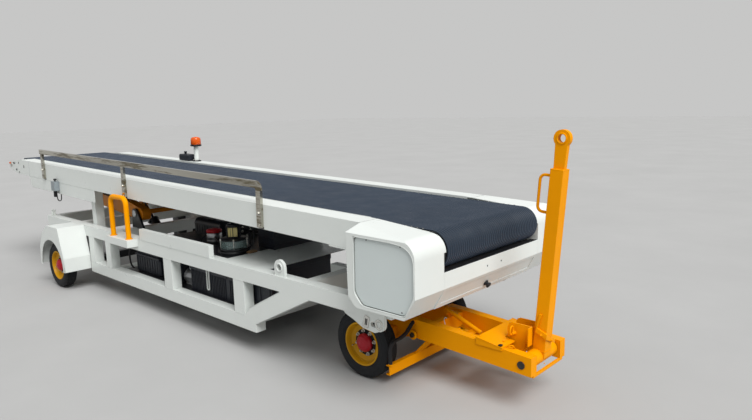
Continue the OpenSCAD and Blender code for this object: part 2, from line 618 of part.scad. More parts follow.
side_frames();
cross_members();
front_subframe();
lifting_lugs();
fenders();
front_boxes();
cross_plate();
grab_handles();
handle_shelves();
rear_axle();
boom_rests();
lift_brackets();
deck();
power_unit();
battery_boxes();
pump_set();
filter_bowl();
turntable_top();
front_brackets();
tyre_rl();
rim_rl();
hub_rl();
tyre_rr();
rim_rr();
hub_rr();
tyre_fl();
rim_fl();
hub_fl();
tyre_fr();
rim_fr();
hub_fr();
bogie_frame();
drawbar_frame();
brake_bar();
drawbar_strut();
tow_tube_bar();
tow_eye();
tow_handle();
tow_latch();
brake_hose();
boom_beams();
boom_skirts();
boom_bed();
belt();
drums();
boom_nose();
nose_bumpers();
guard_rail();
beacon_post();
beacon_lamp();
switch_boxes();
lift_frame();
cylinder_feet();
lift_barrel();
lift_rod();
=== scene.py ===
import bpy, bmesh, json
from math import atan2, cos, degrees, hypot, pi, radians, sin, sqrt
from mathutils import Matrix, Vector


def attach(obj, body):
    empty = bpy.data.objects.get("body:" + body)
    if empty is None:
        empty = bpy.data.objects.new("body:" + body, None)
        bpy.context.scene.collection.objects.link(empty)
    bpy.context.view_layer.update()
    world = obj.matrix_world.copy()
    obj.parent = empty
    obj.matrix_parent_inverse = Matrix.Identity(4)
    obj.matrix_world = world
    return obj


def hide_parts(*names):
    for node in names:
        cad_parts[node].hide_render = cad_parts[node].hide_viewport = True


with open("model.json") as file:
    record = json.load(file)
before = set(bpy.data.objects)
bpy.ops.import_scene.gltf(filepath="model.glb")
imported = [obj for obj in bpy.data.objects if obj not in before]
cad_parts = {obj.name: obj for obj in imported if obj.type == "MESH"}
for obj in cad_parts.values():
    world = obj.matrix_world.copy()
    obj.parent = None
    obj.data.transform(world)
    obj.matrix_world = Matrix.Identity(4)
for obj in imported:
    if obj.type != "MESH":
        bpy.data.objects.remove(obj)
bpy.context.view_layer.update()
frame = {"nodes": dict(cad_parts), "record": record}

# ---------- layout in millimetres, as in the source: x is counted from the front axle, forwards ----------
AX = 2.152  # the front axle in the shared frame, in metres
WB = 3660
TYRE_R, TYRE_W = 216, 112
FRONT_Y, REAR_Y = 374, 790
UT, UB, LT = 606, 506, 266  # side frame: top and foot of the upper rail, top of the lower rail
BEAM_TOP, BEAM_Z0, BEAM_HALF, BEAM_LEN = 118, -46, 620, 5400
BELT_R, NOSE_R, NOSE_X = 106, 48, -5960
RAIL_POSTS = (-4950, -3150, -1270)
ROLLERS = (-4700, -3600, -2500, -1500)
# pivots, x and height: boom, lift frame, cylinder foot and rod's eye, drawbar, tow bar
BOOM_X, BOOM_Z = 590, 905
LIFT_X, LIFT_Z = -2900, 735
CYL_X, CYL_Z = -3000, 290
EYE_X, EYE_Z = -3500, 742
DRAW_X, DRAW_Z = 236, 270
TOW_X, TOW_Z = 971, 272
BOOM_LEAN, LIFT_LEAN, TOW_LEAN = 1.4, 5, 4.6  # at rest, in degrees
scene = bpy.context.scene
scene.view_settings.view_transform = 'Standard'

# ---------- camera, fitted to the photograph ----------
PHOTO_W, SENSOR_W = 752.0, 36.0
def camera(pos, yaw, pitch, roll, f_px):
    """pos in metres, f_px the focal length in pixels of the photograph."""
    cy, sy, cp, sp = cos(yaw), sin(yaw), cos(pitch), sin(pitch)
    fwd = Vector((-sy * cp, cy * cp, -sp))
    right = Vector((cy, sy, 0.0))
    up = right.cross(fwd)
    cr, sr = cos(roll), sin(roll)
    r2, u2 = cr * right + sr * up, -sr * right + cr * up
    cam = bpy.data.cameras.new("camera")
    cam.sensor_width = SENSOR_W
    cam.sensor_fit = 'HORIZONTAL'
    cam.lens = f_px / PHOTO_W * SENSOR_W
    cam.clip_start, cam.clip_end = 0.05, 200
    ob = bpy.data.objects.new("camera", cam)
    m = Matrix((r2, u2, -fwd)).transposed().to_4x4()
    m.translation = Vector(pos)
    ob.matrix_world = m
    scene.collection.objects.link(ob)
    scene.camera = ob
camera((AX + 2.534, -2.997, 1.659), radians(42.8), radians(9.57), radians(-1.36), 617.6)

# ---------- materials ----------
def node(nt, kind, **inputs):
    n = nt.nodes.new(kind)
    for k, v in inputs.items(): n.inputs[k].default_value = v
    return n

def link(nt, a, b):
    nt.links.new(a, b)

def ramp_range(nt, src, lo, hi, a, b):
    m = node(nt, 'ShaderNodeMapRange', **{'From Min': lo, 'From Max': hi, 'To Min': a, 'To Max': b})
    link(nt, src, m.inputs['Value'])
    return m.outputs['Result']

def mix_col(nt, fac, a, b):
    m = nt.nodes.new('ShaderNodeMix')
    m.data_type = 'RGBA'
    link(nt, fac, m.inputs[0])
    for s, v in ((m.inputs[6], a), (m.inputs[7], b)):
        if isinstance(v, tuple): s.default_value = (*v, 1)
        else: link(nt, v, s)
    return m.outputs[2]

def combine(nt, operation, a, b):
    m = nt.nodes.new('ShaderNodeMath')
    m.operation = operation
    link(nt, a, m.inputs[0])
    link(nt, b, m.inputs[1])
    return m.outputs[0]

def noise(nt, vec, scale, detail, rough=0.5):
    n = node(nt, 'ShaderNodeTexNoise', Scale=scale, Detail=detail, Roughness=rough)
    link(nt, vec, n.inputs['Vector'])
    return n.outputs['Fac']

def shader(name):
    m = bpy.data.materials.new(name)
    m.use_nodes = True
    return m, m.node_tree, m.node_tree.nodes['Principled BSDF'].inputs

def material(name, base, rough=0.4, metal=0.0, var=0.06, vscale=2.5, peel=0.05, pscale=260.0, rvar=0.1, bevel=0.0, dust=0.0,
             dust_col=(0.36, 0.33, 0.29), painted_corner_shade=0.0, stretch=None, wear_and_reflection=None, spec=0.5):
    """Paint, rubber or metal: uneven colour and gloss, a fine surface, softened edges, dust that lies low, painted
    shade in corners.
    The patch colour, given with the scale of its patches and the noise above which it shows, is wear on bare steel and
    painted reflection on the polished rail."""
    m, nt, b = shader(name)
    b['Metallic'].default_value = metal
    b['Specular IOR Level'].default_value = spec
    place = nt.nodes.new('ShaderNodeTexCoord').outputs['Object']
    vec = place
    if stretch:
        mp = node(nt, 'ShaderNodeMapping', Scale=stretch)
        link(nt, place, mp.inputs['Vector'])
        vec = mp.outputs['Vector']
    f1 = ramp_range(nt, noise(nt, vec, vscale, 5.0, 0.6), 0.3, 0.7, 0.0, 1.0)
    lo, hi = tuple(c * (1 - var) for c in base), tuple(min(1.0, c * (1 + var)) for c in base)
    col = mix_col(nt, f1, lo, hi)
    fine = noise(nt, vec, pscale, 3.0, 0.55)
    patches = noise(nt, vec, vscale * 7, 6.0, 0.7)
    rr = ramp_range(nt, patches, 0.3, 0.7, max(0.03, rough - rvar), min(1.0, rough + rvar))
    if wear_and_reflection:
        fw = ramp_range(nt, noise(nt, vec, wear_and_reflection[1], 8.0, 0.75), wear_and_reflection[2], wear_and_reflection[2] + 0.06, 0.0, 1.0)
        col = mix_col(nt, fw, col, wear_and_reflection[0])
    if dust:
        sep = nt.nodes.new('ShaderNodeSeparateXYZ')
        link(nt, place, sep.inputs[0])
        low = ramp_range(nt, sep.outputs['Z'], 0.0, 0.55, dust, dust * 0.12)
        blot = ramp_range(nt, patches, 0.35, 0.65, 0.3, 1.0)
        col = mix_col(nt, combine(nt, 'MULTIPLY', low, blot), col, dust_col)
    # painted shade: an ambient-occlusion mask darkens the colour in corners and creases
    if painted_corner_shade:
        ao = node(nt, 'ShaderNodeAmbientOcclusion', Distance=0.05)
        ao.samples = 4
        f = ramp_range(nt, ao.outputs['AO'], 0.35, 0.85, painted_corner_shade, 0.0)
        col = mix_col(nt, f, col, tuple(c * 0.45 for c in base))
    link(nt, col, b['Base Color'])
    link(nt, rr, b['Roughness'])
    bump = node(nt, 'ShaderNodeBump', Strength=min(1.0, peel * 4), Distance=0.0006)
    link(nt, fine, bump.inputs['Height'])
    if bevel:
        bv = node(nt, 'ShaderNodeBevel', Radius=bevel)
        bv.samples = 4
        link(nt, bv.outputs['Normal'], bump.inputs['Normal'])
    link(nt, bump.outputs['Normal'], b['Normal'])
    return m

def glass(name, col, rough=0.05):
    m, nt, b = shader(name)
    b['Transmission Weight'].default_value = 0.85
    b['IOR'].default_value = 1.45
    n = noise(nt, nt.nodes.new('ShaderNodeTexCoord').outputs['Object'], 14.0, 4.0)
    link(nt, ramp_range(nt, n, 0.3, 0.7, rough, rough + 0.12), b['Roughness'])
    link(nt, mix_col(nt, n, tuple(c * 0.85 for c in col), col), b['Base Color'])
    return m

M = {
    'white': material('white_enamel', (0.76, 0.795, 0.765), 0.36, var=0.025, vscale=1.3, peel=0.03, bevel=0.004, dust=0.07,
                      painted_corner_shade=0.35, spec=0.4),
    'panel': material('panel_enamel', (0.64, 0.70, 0.69), 0.44, var=0.03, vscale=1.8, peel=0.04, bevel=0.002, dust=0.04,
                      painted_corner_shade=0.35, spec=0.3),
    'yellow': material('yellow_enamel', (0.93, 0.345, 0.0), 0.42, var=0.04, vscale=2.0, peel=0.035, bevel=0.003, dust=0.002,
                       painted_corner_shade=0.4, spec=0.05),
    'rim': material('rim_enamel', (0.62, 0.31, 0.003), 0.42, var=0.08, vscale=6.0, peel=0.04, bevel=0.002, dust=0.03, painted_corner_shade=0.5,
                    spec=0.18),
    'hub': material('hub_enamel', (0.42, 0.003, 0.016), 0.33, var=0.08, vscale=9.0, peel=0.04, bevel=0.002, dust=0.02,
                    painted_corner_shade=0.4, spec=0.35),
    'tyre': material('tyre_rubber', (0.009, 0.010, 0.012), 0.72, var=0.25, vscale=8.0, peel=0.12, pscale=420.0, dust=0.05,
                     dust_col=(0.13, 0.125, 0.115), spec=0.3),
    'belt': material('belt_rubber', (0.014, 0.023, 0.036), 0.52, var=0.14, vscale=1.1, peel=0.12, pscale=330.0, rvar=0.12,
                     spec=0.22),
    'black': material('black_enamel', (0.012, 0.013, 0.016), 0.36, var=0.25, vscale=5.0, peel=0.05, bevel=0.003, dust=0.06,
                      dust_col=(0.16, 0.155, 0.14), painted_corner_shade=0.2, spec=0.4),
    'moulded': material('moulded_plastic', (0.013, 0.016, 0.024), 0.46, var=0.2, vscale=5.0, peel=0.14, pscale=500.0,
                        bevel=0.003, dust=0.05, dust_col=(0.15, 0.15, 0.14), spec=0.4),
    'rubber': material('black_rubber', (0.010, 0.010, 0.012), 0.55, var=0.25, vscale=12.0, peel=0.1, pscale=380.0, dust=0.04,
                       dust_col=(0.13, 0.12, 0.11), spec=0.35),
    'steel': material('bare_steel', (0.42, 0.43, 0.44), 0.36, metal=1.0, var=0.12, vscale=9.0, peel=0.05, pscale=300.0,
                      bevel=0.0015, wear_and_reflection=((0.26, 0.20, 0.15), 22.0, 0.66)),
    'stainless': material('stainless', (0.60, 0.595, 0.56), 0.12, metal=1.0, var=0.05, vscale=3.0, peel=0.02, pscale=60.0,
                          rvar=0.05, bevel=0.004, stretch=(0.05, 1.0, 1.0)),
    # painted reflection: a darker tint with dark streaks along the polished rail stands for the surroundings mirrored
    # in it
    'mirror': material('polished_rail_painted_reflection', (0.46, 0.44, 0.38), 0.12, metal=1.0, var=0.28, vscale=5.0, peel=0.05, pscale=26.0,
                       rvar=0.06, stretch=(0.08, 1.0, 1.0), wear_and_reflection=((0.16, 0.135, 0.085), 11.0, 0.50)),
    # a darker copy of the yellow enamel: painted shade, for the lift frame that lies under the boom
    'arm': material('lift_arm_yellow_in_painted_shade', (0.60, 0.20, 0.005), 0.42, var=0.08, vscale=3.0, peel=0.04, bevel=0.003, dust=0.03,
                    painted_corner_shade=0.4, spec=0.2),
    'chrome': material('chrome_rod', (0.72, 0.73, 0.74), 0.08, metal=1.0, var=0.03, peel=0.02, rvar=0.04),
    'zinc': material('zinc_bolts', (0.52, 0.51, 0.47), 0.30, metal=1.0, var=0.18, vscale=60.0, peel=0.08, pscale=500.0,
                     bevel=0.0006),
    # also painted shade, for holes and slots drawn as dark marks
    'dark_bolt': material('dark_bolts_and_hole_shade', (0.06, 0.058, 0.055), 0.42, metal=0.8, var=0.3, vscale=50.0, peel=0.1, pscale=500.0,
                          bevel=0.0006),
    'grey': material('grey_plastic', (0.27, 0.31, 0.33), 0.45, var=0.08, vscale=8.0, peel=0.08, pscale=500.0, bevel=0.002,
                     painted_corner_shade=0.35),
    'shade': material('shadow_gap', (0.020, 0.021, 0.021), 0.8, var=0.2, vscale=20.0, peel=0.05, spec=0.1),
    'brown': material('terminal_brown', (0.30, 0.17, 0.08), 0.6, var=0.3, vscale=20.0, peel=0.1),
    'cream': material('cream_plate', (0.62, 0.52, 0.20), 0.45, var=0.08, vscale=30.0, peel=0.05, bevel=0.001),
    'red': material('red_lid', (0.55, 0.012, 0.02), 0.35, var=0.1, vscale=16.0, peel=0.05, bevel=0.002, spec=0.35),
    'cable_white': material('white_cable', (0.70, 0.70, 0.68), 0.45, var=0.05, vscale=30.0, peel=0.05),
    'glass': glass('filter_glass', (0.66, 0.84, 0.82)),
    'amber': glass('amber_lens', (1.0, 0.15, 0.005), 0.16),
    'red_lens': glass('red_lens', (0.6, 0.01, 0.01), 0.18),
}
for key, socket, value in (('belt', 'Sheen Weight', 0.22), ('belt', 'Sheen Tint', (0.55, 0.70, 1.0, 1.0)),
                           ('amber', 'Transmission Weight', 0.25), ('red_lens', 'Transmission Weight', 0.2)):
    M[key].node_tree.nodes['Principled BSDF'].inputs[socket].default_value = value

# the record's material slots, each with its looks; the first is that of the source's own solids
LOOKS = {'white_paint': ('white', 'panel'), 'yellow_paint': ('yellow', 'arm'), 'rim_paint': ('rim',), 'hub_paint': ('hub',),
         'tyre_rubber': ('tyre',), 'belt_rubber': ('belt',), 'black_rubber': ('rubber',),
         'black_steel': ('black', 'moulded', 'shade', 'brown', 'cream', 'red'),
         'bare_steel': ('steel', 'chrome', 'zinc', 'dark_bolt'), 'stainless': ('stainless', 'mirror'),
         'grey_plastic': ('grey', 'cable_white', 'glass'), 'lamp_orange': ('amber', 'red_lens')}
slots = {s['node']: s['material_slot'] for s in frame['record']['subparts']}
for n, ob in frame['nodes'].items():
    ob.data.materials.clear()
    ob.data.materials.append(M[LOOKS[slots[n]][0]])
# the guard rail takes the dark streaks of painted reflection
# the lift frame takes the darker yellow of painted shade
for n, k in (('battery_boxes', 'moulded'), ('lift_rod', 'chrome'), ('guard_rail', 'mirror'), ('lift_frame', 'arm')):
    frame['nodes'][n].data.materials[0] = M[k]

# ---------- frames of reference ----------
def T(x, y, z): return Matrix.Translation((x, y, z))
def RY(d): return Matrix.Rotation(radians(d), 4, 'Y')
def RZ(a): return Matrix.Rotation(a, 4, 'Z')
AXLE = T(AX, 0, 0) @ Matrix.Scale(0.001, 4)
BOOM = AXLE @ T(BOOM_X, 0, BOOM_Z) @ RY(BOOM_LEAN)
LIFT = AXLE @ T(LIFT_X, 0, LIFT_Z) @ RY(LIFT_LEAN)
TOW = AXLE @ T(TOW_X, 0, TOW_Z) @ RY(TOW_LEAN)
FLIP = Matrix.Diagonal((1, -1, 1, 1))
SIXTHS = [pi / 3 * k for k in range(6)]

def toward(p, d):
    """A frame at p whose local Z points along d."""
    return T(*p) @ Vector(d).to_track_quat('Z', 'Y').to_matrix().to_4x4()

def outward(x, y, z):
    """A frame at a point, its local Z pointing away from the right side."""
    return toward((x, y, z), (0, -1, 0))

def turns(n, start=0.0):
    """Angles of n even steps of a turn; start is a share of one step."""
    return [2 * pi * (k + start) / n for k in range(n)]

def polar(r, a, z): return r * cos(a), r * sin(a), z

def around(q, u, w, r, angles):
    """Points of a circle about q in the plane of u and w."""
    return [tuple(q + (u * cos(a) + w * sin(a)) * r) for a in angles]

class Shape:
    """Collects solids of one material into one mesh, drawn in millimetres in a frame; sides adds their mirror images."""
    def __init__(self, frame_, sides=False):
        self.bm = bmesh.new()
        self.frame = frame_
        self.sides = sides

    def add(self, verts, faces, m, smooth, flipped=False):
        vs = [self.bm.verts.new(self.frame @ (m @ Vector(v))) for v in verts]
        for f in faces:
            f = list(reversed(f)) if flipped else f
            try: fc = self.bm.faces.new([vs[i] for i in f])
            except ValueError: continue
            fc.smooth = smooth

    def loft(self, rings, m=None, smooth=True, closed=False, caps=True):
        """A skin over rings of points; closed joins the last ring to the first."""
        m = m or Matrix()
        n = len(rings[0])
        verts = [p for r in rings for p in r]
        faces = []
        for i in range(len(rings) if closed else len(rings) - 1):
            a, b = i * n, ((i + 1) % len(rings)) * n
            faces += [(a + k, a + (k + 1) % n, b + (k + 1) % n, b + k) for k in range(n)]
        if caps and not closed:
            faces += [tuple(reversed(range(n))), tuple(range(len(verts) - n, len(verts)))]
        self.add(verts, faces, m, smooth)
        if self.sides: self.add(verts, faces, FLIP @ m, smooth, True)

    def box(self, x0, x1, y0, y1, z0, z1, c=2.0, m=None):
        """A block with chamfered edges."""
        c = min(c, (x1 - x0) / 2.1, (y1 - y0) / 2.1, (z1 - z0) / 2.1)
        def ring(z, i):
            return [(x0 + i, y0 + i + c, z), (x0 + i + c, y0 + i, z), (x1 - i - c, y0 + i, z), (x1 - i, y0 + i + c, z),
                    (x1 - i, y1 - i - c, z), (x1 - i - c, y1 - i, z), (x0 + i + c, y1 - i, z), (x0 + i, y1 - i - c, z)]
        h = c * 0.45
        self.loft([ring(z0, c - h), ring(z0 + c, 0), ring(z1 - c, 0), ring(z1, c - h)], m, smooth=False)

    def plate(self, pts, y0, y1, c=0.0):
        """An outline in x and z between two values of y, its edges chamfered by c; points run anticlockwise."""
        cx, cz = sum(p[0] for p in pts) / len(pts), sum(p[1] for p in pts) / len(pts)
        def ring(y, k):
            out = []
            for x, z in reversed(pts):
                d = hypot(x - cx, z - cz) or 1
                out.append((x - (x - cx) / d * k, y, z - (z - cz) / d * k))
            return out
        self.loft([ring(y0, c), ring(y0 + c, 0), ring(y1 - c, 0), ring(y1, c)] if c else [ring(y0, 0), ring(y1, 0)],
                  smooth=False)

    def lathe(self, profile, m, seg, caps=True):
        """Turned about the local Z of m; the profile is radius and height."""
        self.loft([[polar(r, a, z) for a in turns(seg)] for r, z in profile], m, caps=caps)

    def rod(self, m, r, h, seg, c=1.5):
        c = min(c, r * 0.4, h * 0.4)
        self.lathe([(r - c, 0), (r, c), (r, h - c), (r - c, h)], m, seg)

    def hexbolt(self, m, af, h, washer=True):
        """Hexagon head, af across its flats, with washer and thread end, standing on the plane z = 0 of m."""
        z = 0.0
        if washer:
            self.lathe([(af * 0.92, 0), (af * 0.92, 1.6), (af * 0.86, 2.2)], m, 20)
            z = 2.2
        r = af / sqrt(3)
        head = ((r, z), (r, z + h - 1.2), (r * 0.88, z + h))
        self.loft([[polar(q, a, zz) for a in SIXTHS] for q, zz in head], m, smooth=False)
        self.rod(m @ T(0, 0, z + h - 0.5), af * 0.27, 3.5, 12, 0.8)

    def screw(self, m, r, h):
        """Round screw head."""
        self.lathe([(r, 0), (r, h * 0.35), (r * 0.8, h * 0.8), (r * 0.35, h)], m, 16)

    def tube(self, pts, r, seg, closed=False, m=None, steps=5):
        """Round bar along a smooth line through points."""
        P = [Vector(p) for p in pts]
        n = len(P)
        line = []
        for i in range(n if closed else n - 1):
            p0 = P[(i - 1) % n] if (closed or i > 0) else P[i] * 2 - P[i + 1]
            p1, p2 = P[i], P[(i + 1) % n]
            p3 = P[(i + 2) % n] if (closed or i < n - 2) else p2 * 2 - p1
            for s in range(steps):
                t = s / steps
                line.append(0.5 * ((2 * p1) + (p2 - p0) * t + (2 * p0 - 5 * p1 + 4 * p2 - p3) * t * t
                                   + (3 * p1 - p0 - 3 * p2 + p3) * t ** 3))
        if not closed: line.append(P[-1])
        rings = []
        u = Vector((0.13, 0.31, 0.94))
        for i, q in enumerate(line):
            a = line[(i - 1) % len(line)] if (closed or i > 0) else q
            b = line[(i + 1) % len(line)] if (closed or i < len(line) - 1) else q
            d = (b - a).normalized()
            u = u - d * u.dot(d)
            if u.length < 1e-3: u = Vector((1, 0, 0)) - d * d.x
            u.normalize()
            rings.append(around(q, u, d.cross(u), r, turns(seg)))
        self.loft(rings, m, closed=closed)

    def weld(self, a, b, r):
        """A weld bead between two points: a row of overlapping ripples."""
        A, B = Vector(a), Vector(b)
        L = (B - A).length
        n = max(3, min(90, int(L / (r * 1.5))))
        d = (B - A) / L
        u = Vector((0.3, 0.5, 0.8)) - d * Vector((0.3, 0.5, 0.8)).dot(d)
        u.normalize()
        self.loft([around(A + (B - A) * i / n, u, d.cross(u), r * (1.0 if i % 2 else 0.78), SIXTHS) for i in range(n + 1)])

    def done(self, name, mat, body, *replaced):
        """Hang the finished mesh on its body; replaced names the solids that it stands in for."""
        me = bpy.data.meshes.new(name)
        bmesh.ops.recalc_face_normals(self.bm, faces=self.bm.faces)
        self.bm.to_mesh(me)
        self.bm.free()
        me.materials.append(M[mat])
        ob = bpy.data.objects.new(name, me)
        scene.collection.objects.link(ob)
        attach(ob, body)
        if replaced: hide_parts(*replaced)
        return ob

def sided(frame_): return Shape(frame_, True)

# ---------- belt: one loop with lengthwise ribs ----------
def belt():
    s = Shape(BOOM)
    half, n = 472.0, 48
    pitch = 2 * half / n
    seg, low = 30, BELT_R - 2 * NOSE_R
    run_x = -900  # where the lower run becomes straight
    path = [(NOSE_X + (0 - NOSE_X) * i / 24, BELT_R, 0, 1) for i in range(25)]
    for i in range(1, seg):
        a = pi / 2 - pi * i / seg
        path.append((BELT_R * cos(a), BELT_R * sin(a), cos(a), sin(a)))
    path.append((0, -BELT_R, 0, -1))
    path += [(run_x + (NOSE_X - run_x) * i / 6, low, 0, -1) for i in range(7)]
    for i in range(1, 14):
        a = -pi / 2 - pi * i / 14
        path.append((NOSE_X + NOSE_R * cos(a), BELT_R - NOSE_R + NOSE_R * sin(a), cos(a), sin(a)))
    prof = [(-half, -4.8), (-half, -1.2)]
    for k in range(n):
        y = -half + k * pitch
        prof += [(y + pitch * 0.06, -3.2), (y + pitch * 0.26, 0.0), (y + pitch * 0.66, 0.0), (y + pitch * 0.84, -3.2)]
    prof += [(half, -1.2), (half, -4.8)]
    s.loft([[(x + nx * h, y, z + nz * h) for y, h in prof] for x, z, nx, nz in path], smooth=False, closed=True, caps=False)
    s.done('belt_skin', 'belt', 'boom', 'belt')
    s = sided(BOOM)
    ticks, step = 150, 39.2
    for i in range(ticks):
        x = -60 - i * step
        s.box(x - 5, x + 5, -475, -468, 105.2, 106.6, 0.4)
    s.done('belt_edge_ticks', 'stainless', 'boom')
belt()

# ---------- wheels ----------
TREAD_RIB = [-36, -21, -7, 7, 21, 36]
def tyre(name, x, y, body, blocks):
    """Sidewalls, and a tread of ribs; blocks cuts the outer ribs into blocks."""
    h = TYRE_W / 2
    side = [(138, -h + 11), (146, -h + 6), (150, -h + 3.4), (153, -h + 3.4), (156, -h + 1.2), (172, -h + 0.2), (180, -h + 0.6),
            (182, -h + 2.2), (185, -h + 2.4), (187, -h + 1.6), (196, -h + 4), (205, -h + 9), (210.5, -h + 14)]
    prof = side[:]
    for k, c in enumerate(TREAD_RIB):
        w = 5.4 if k in (0, 5) else 5.0
        prof += [(215.2 - abs(z) * 0.07, z) for z in (c - w, c + w)]
        if k < 5: prof += [(208.5, c + w + 0.9), (208.5, TREAD_RIB[k + 1] - 5.9)]
    prof += [(r, -z) for r, z in reversed(side)]
    rings = []
    for r, z in prof:
        ring = []
        for k, a in enumerate(turns(120)):
            q = r
            if blocks:
                if k % 5 == (0 if z > 0 else 2):
                    if r > 212 and abs(z) > 14: q = r - 6
                    elif 212 > r > 202 and abs(z) > 36: q = r - 4
            elif 209 > r > 200 and abs(z) > 40 and k % 3 == 0: q = r - 1.8
            ring.append(polar(q, a, z))
        rings.append(ring)
    s = Shape(AXLE)
    s.loft(rings, T(x, y, TYRE_R) @ Matrix.Rotation(radians(90), 4, 'X'), smooth=False, closed=True, caps=False)
    ob = s.done(name, 'tyre', body, name.replace('tread', 'tyre'))
    for p in ob.data.polygons: p.use_smooth = True
    ob.data.set_sharp_from_angle(angle=radians(28))

def wheel(key, x, side):
    """Tread, rim flange, a flat dark ring of painted shade for the deep recess, nuts and valve, hub cap; key is front
    or rear, left or right; side is -1 on the right.
    """
    body = 'wheel_' + key
    y = side * (FRONT_Y if key[0] == 'f' else REAR_Y)
    m = toward((x, y, TYRE_R), (0, side, 0))
    tyre('tread_' + key, x, y, body, key[0] == 'r')
    s = Shape(AXLE)
    for prof in ([(128, 44.5), (127.5, 47), (129.5, 49.3), (133.5, 50.3), (137.5, 49.0), (139, 46.2), (138.4, 44)],
                 [(119.5, 20), (122.5, 20.5), (124, 22.5), (123.5, 25), (121.6, 26.5)],
                 [(60, 6.1), (66, 8.4), (100, 8.4), (106, 10.5), (112, 15.5), (115.5, 17)]):
        s.lathe(prof, m, 64, caps=False)
    s.done('rim_flange_' + key, 'rim', body)
    # painted shade: a flat dark ring stands for the shaded depth of the dish round the hub
    s = Shape(AXLE)
    s.lathe([(57.6, 7.6), (58, 9.2), (83, 9.2), (85, 8.2)], m, 48, caps=False)
    s.done('rim_recess_shade_' + key, 'shade', body)
    s = Shape(AXLE)
    for a in turns(8, 0.3): s.hexbolt(m @ T(*polar(74, a, 9.0)), 14, 11)
    s.tube([polar(r, radians(200), z) for r, z in ((104, 12), (100, 24), (97, 38))], 3.2, 8, m=m)
    s.done('wheel_nuts_' + key, 'zinc', body)
    s = Shape(AXLE)
    s.lathe([(57.6, 19.5), (57.8, 25.5), (56, 27.2), (36, 28.6), (34.5, 30), (34, 46.0), (32, 49.4), (27, 51.4), (12, 52.2),
             (9, 53.6), (3, 54)], m, 48)
    s.done('hub_cap_' + key, 'hub', body)

wheel('fl', 0, 1)
wheel('fr', 0, -1)
wheel('rl', -WB, 1)
wheel('rr', -WB, -1)

# ---------- casings and the plate between them ----------
PANEL = [(268, 982), (532, 981), (614, 973), (661, 945), (680, 904), (682, 722), (620, 609), (319, 609), (263, 673)]
def rounded(pts, r, n=5):
    """Round the corners of an outline."""
    out = []
    for i, p in enumerate(pts):
        a, b = Vector(pts[i - 1]), Vector(pts[(i + 1) % len(pts)])
        p = Vector(p)
        q = min(r, (a - p).length * 0.45, (b - p).length * 0.45)
        s, e = p + (a - p).normalized() * q, p + (b - p).normalized() * q
        for k in range(n + 1):
            t = k / n
            out.append(tuple(s * (1 - t) ** 2 + p * 2 * t * (1 - t) + e * t * t))
    return out
def shrink(pts, k):
    """Draw an outline in by k on both axes."""
    cx, cz = sum(p[0] for p in pts) / len(pts), sum(p[1] for p in pts) / len(pts)
    return [(cx + (x - cx) * (1 - k / abs(x - cx) if abs(x - cx) > k else 1),
             cz + (z - cz) * (1 - k / abs(z - cz) if abs(z - cz) > k else 1)) for x, z in pts]
def casings():
    s = sided(AXLE)
    s.plate(rounded(list(reversed(shrink(PANEL, 4.5))), 26), -728.6, -725.9, 0.8)
    s.done('casing_panels', 'panel', 'chassis')
    # painted shade: a dark line round each panel stands for its shaded gap
    s = sided(AXLE)
    s.tube([(x, -726.0, z) for x, z in rounded(shrink(PANEL, 2.2), 26, 4)], 1.5, 6, closed=True, steps=1)
    s.done('casing_panel_gap_shade', 'shade', 'chassis')
    s = sided(AXLE)
    for x, z in ((358, 972), (590, 967), (595, 627)):
        s.screw(outward(x, -728.6, z), 4.0, 2.2)
    s.done('casing_screws', 'dark_bolt', 'chassis')
    s = sided(AXLE)
    s.tube([(x, -737.0, z) for x, z in rounded(PANEL, 26, 4)], 2.4, 8, closed=True, steps=1)
    s.done('casing_folded_edges', 'white', 'chassis')
    s = Shape(AXLE)
    s.lathe([(17, -4), (17, 3), (15, 5), (12, 6), (12, 14), (16, 16), (18, 21), (16, 26), (8, 28)],
            toward((645, -35, 634), (0.85, 0, -0.52)), 28)
    for y, z in ((-87, 753), (60, 753)): s.lathe([(5.2, -1), (5.2, 0.4), (1, 0.5)], toward((688, y, z), (1, 0, 0)), 14)
    s.done('front_lock_knob', 'rubber', 'chassis')
    s = Shape(AXLE)
    u = Vector((74, 0, 121)).normalized()
    nrm = Vector((121, 0, -74)).normalized()
    base = Vector((614, 0, 590))
    def at(t, h): return base + u * t + nrm * h
    for t0, t1, h in ((40, 58, -1.0), (58, 101, -3.2)):
        corners = at(t0, h - 3), at(t1, h - 3), at(t1, h), at(t0, h)
        s.loft([[(q.x, y, q.z) for q in corners] for y in (-464, 464)], smooth=False)
    s.done('slope_inlay', 'panel', 'chassis')
    s = Shape(AXLE)
    for y in (-452, 452): s.screw(toward(at(72, -3.1) + Vector((0, y, 0)), nrm), 5.5, 3)
    s.done('slope_screws', 'zinc', 'chassis')
    s = Shape(AXLE)
    s.tube([(628, y, 797) for y in (-462, -300, -150, 0, 150, 300, 462)], 6, 8)
    s.box(530, 640, -466, 466, 766, 783, 2)
    for y in (-455, 455): s.box(560, 640, y - 8, y + 8, 745, 781, 2)
    # painted shade: a thin dark strip over the cross plate's lip, where the gap under the roll lies in shade
    s.box(640.5, 684, -492, 492, 799.6, 801.6, 0.6)
    s.done('roll_scraper_and_lip_shade', 'rubber', 'chassis')
    # painted shade: dark discs at the roll's ends stand for the shaded gaps beside it
    s = sided(BOOM)
    s.lathe([(30, 0), (94, 1), (97, 4), (97, 10), (93, 13), (30, 14)], outward(0, -474, 0), 40)
    s.done('roll_end_shade_discs', 'shade', 'boom')
    s = Shape(AXLE)
    for y0, y1 in ((-492, -440), (440, 492)):
        s.box(480, 636, y0, y1, 640, 745, 4)
        s.tube([(x, (y0 + y1) / 2, z) for x, z in ((560, 745), (566, 768), (590, 776), (618, 764), (628, 742))], 7, 8)
    for y in (-470, 330): s.box(300, 470, y, y + 140, 640, 760, 8)
    s.done('roll_drive_boxes', 'moulded', 'chassis')
casings()

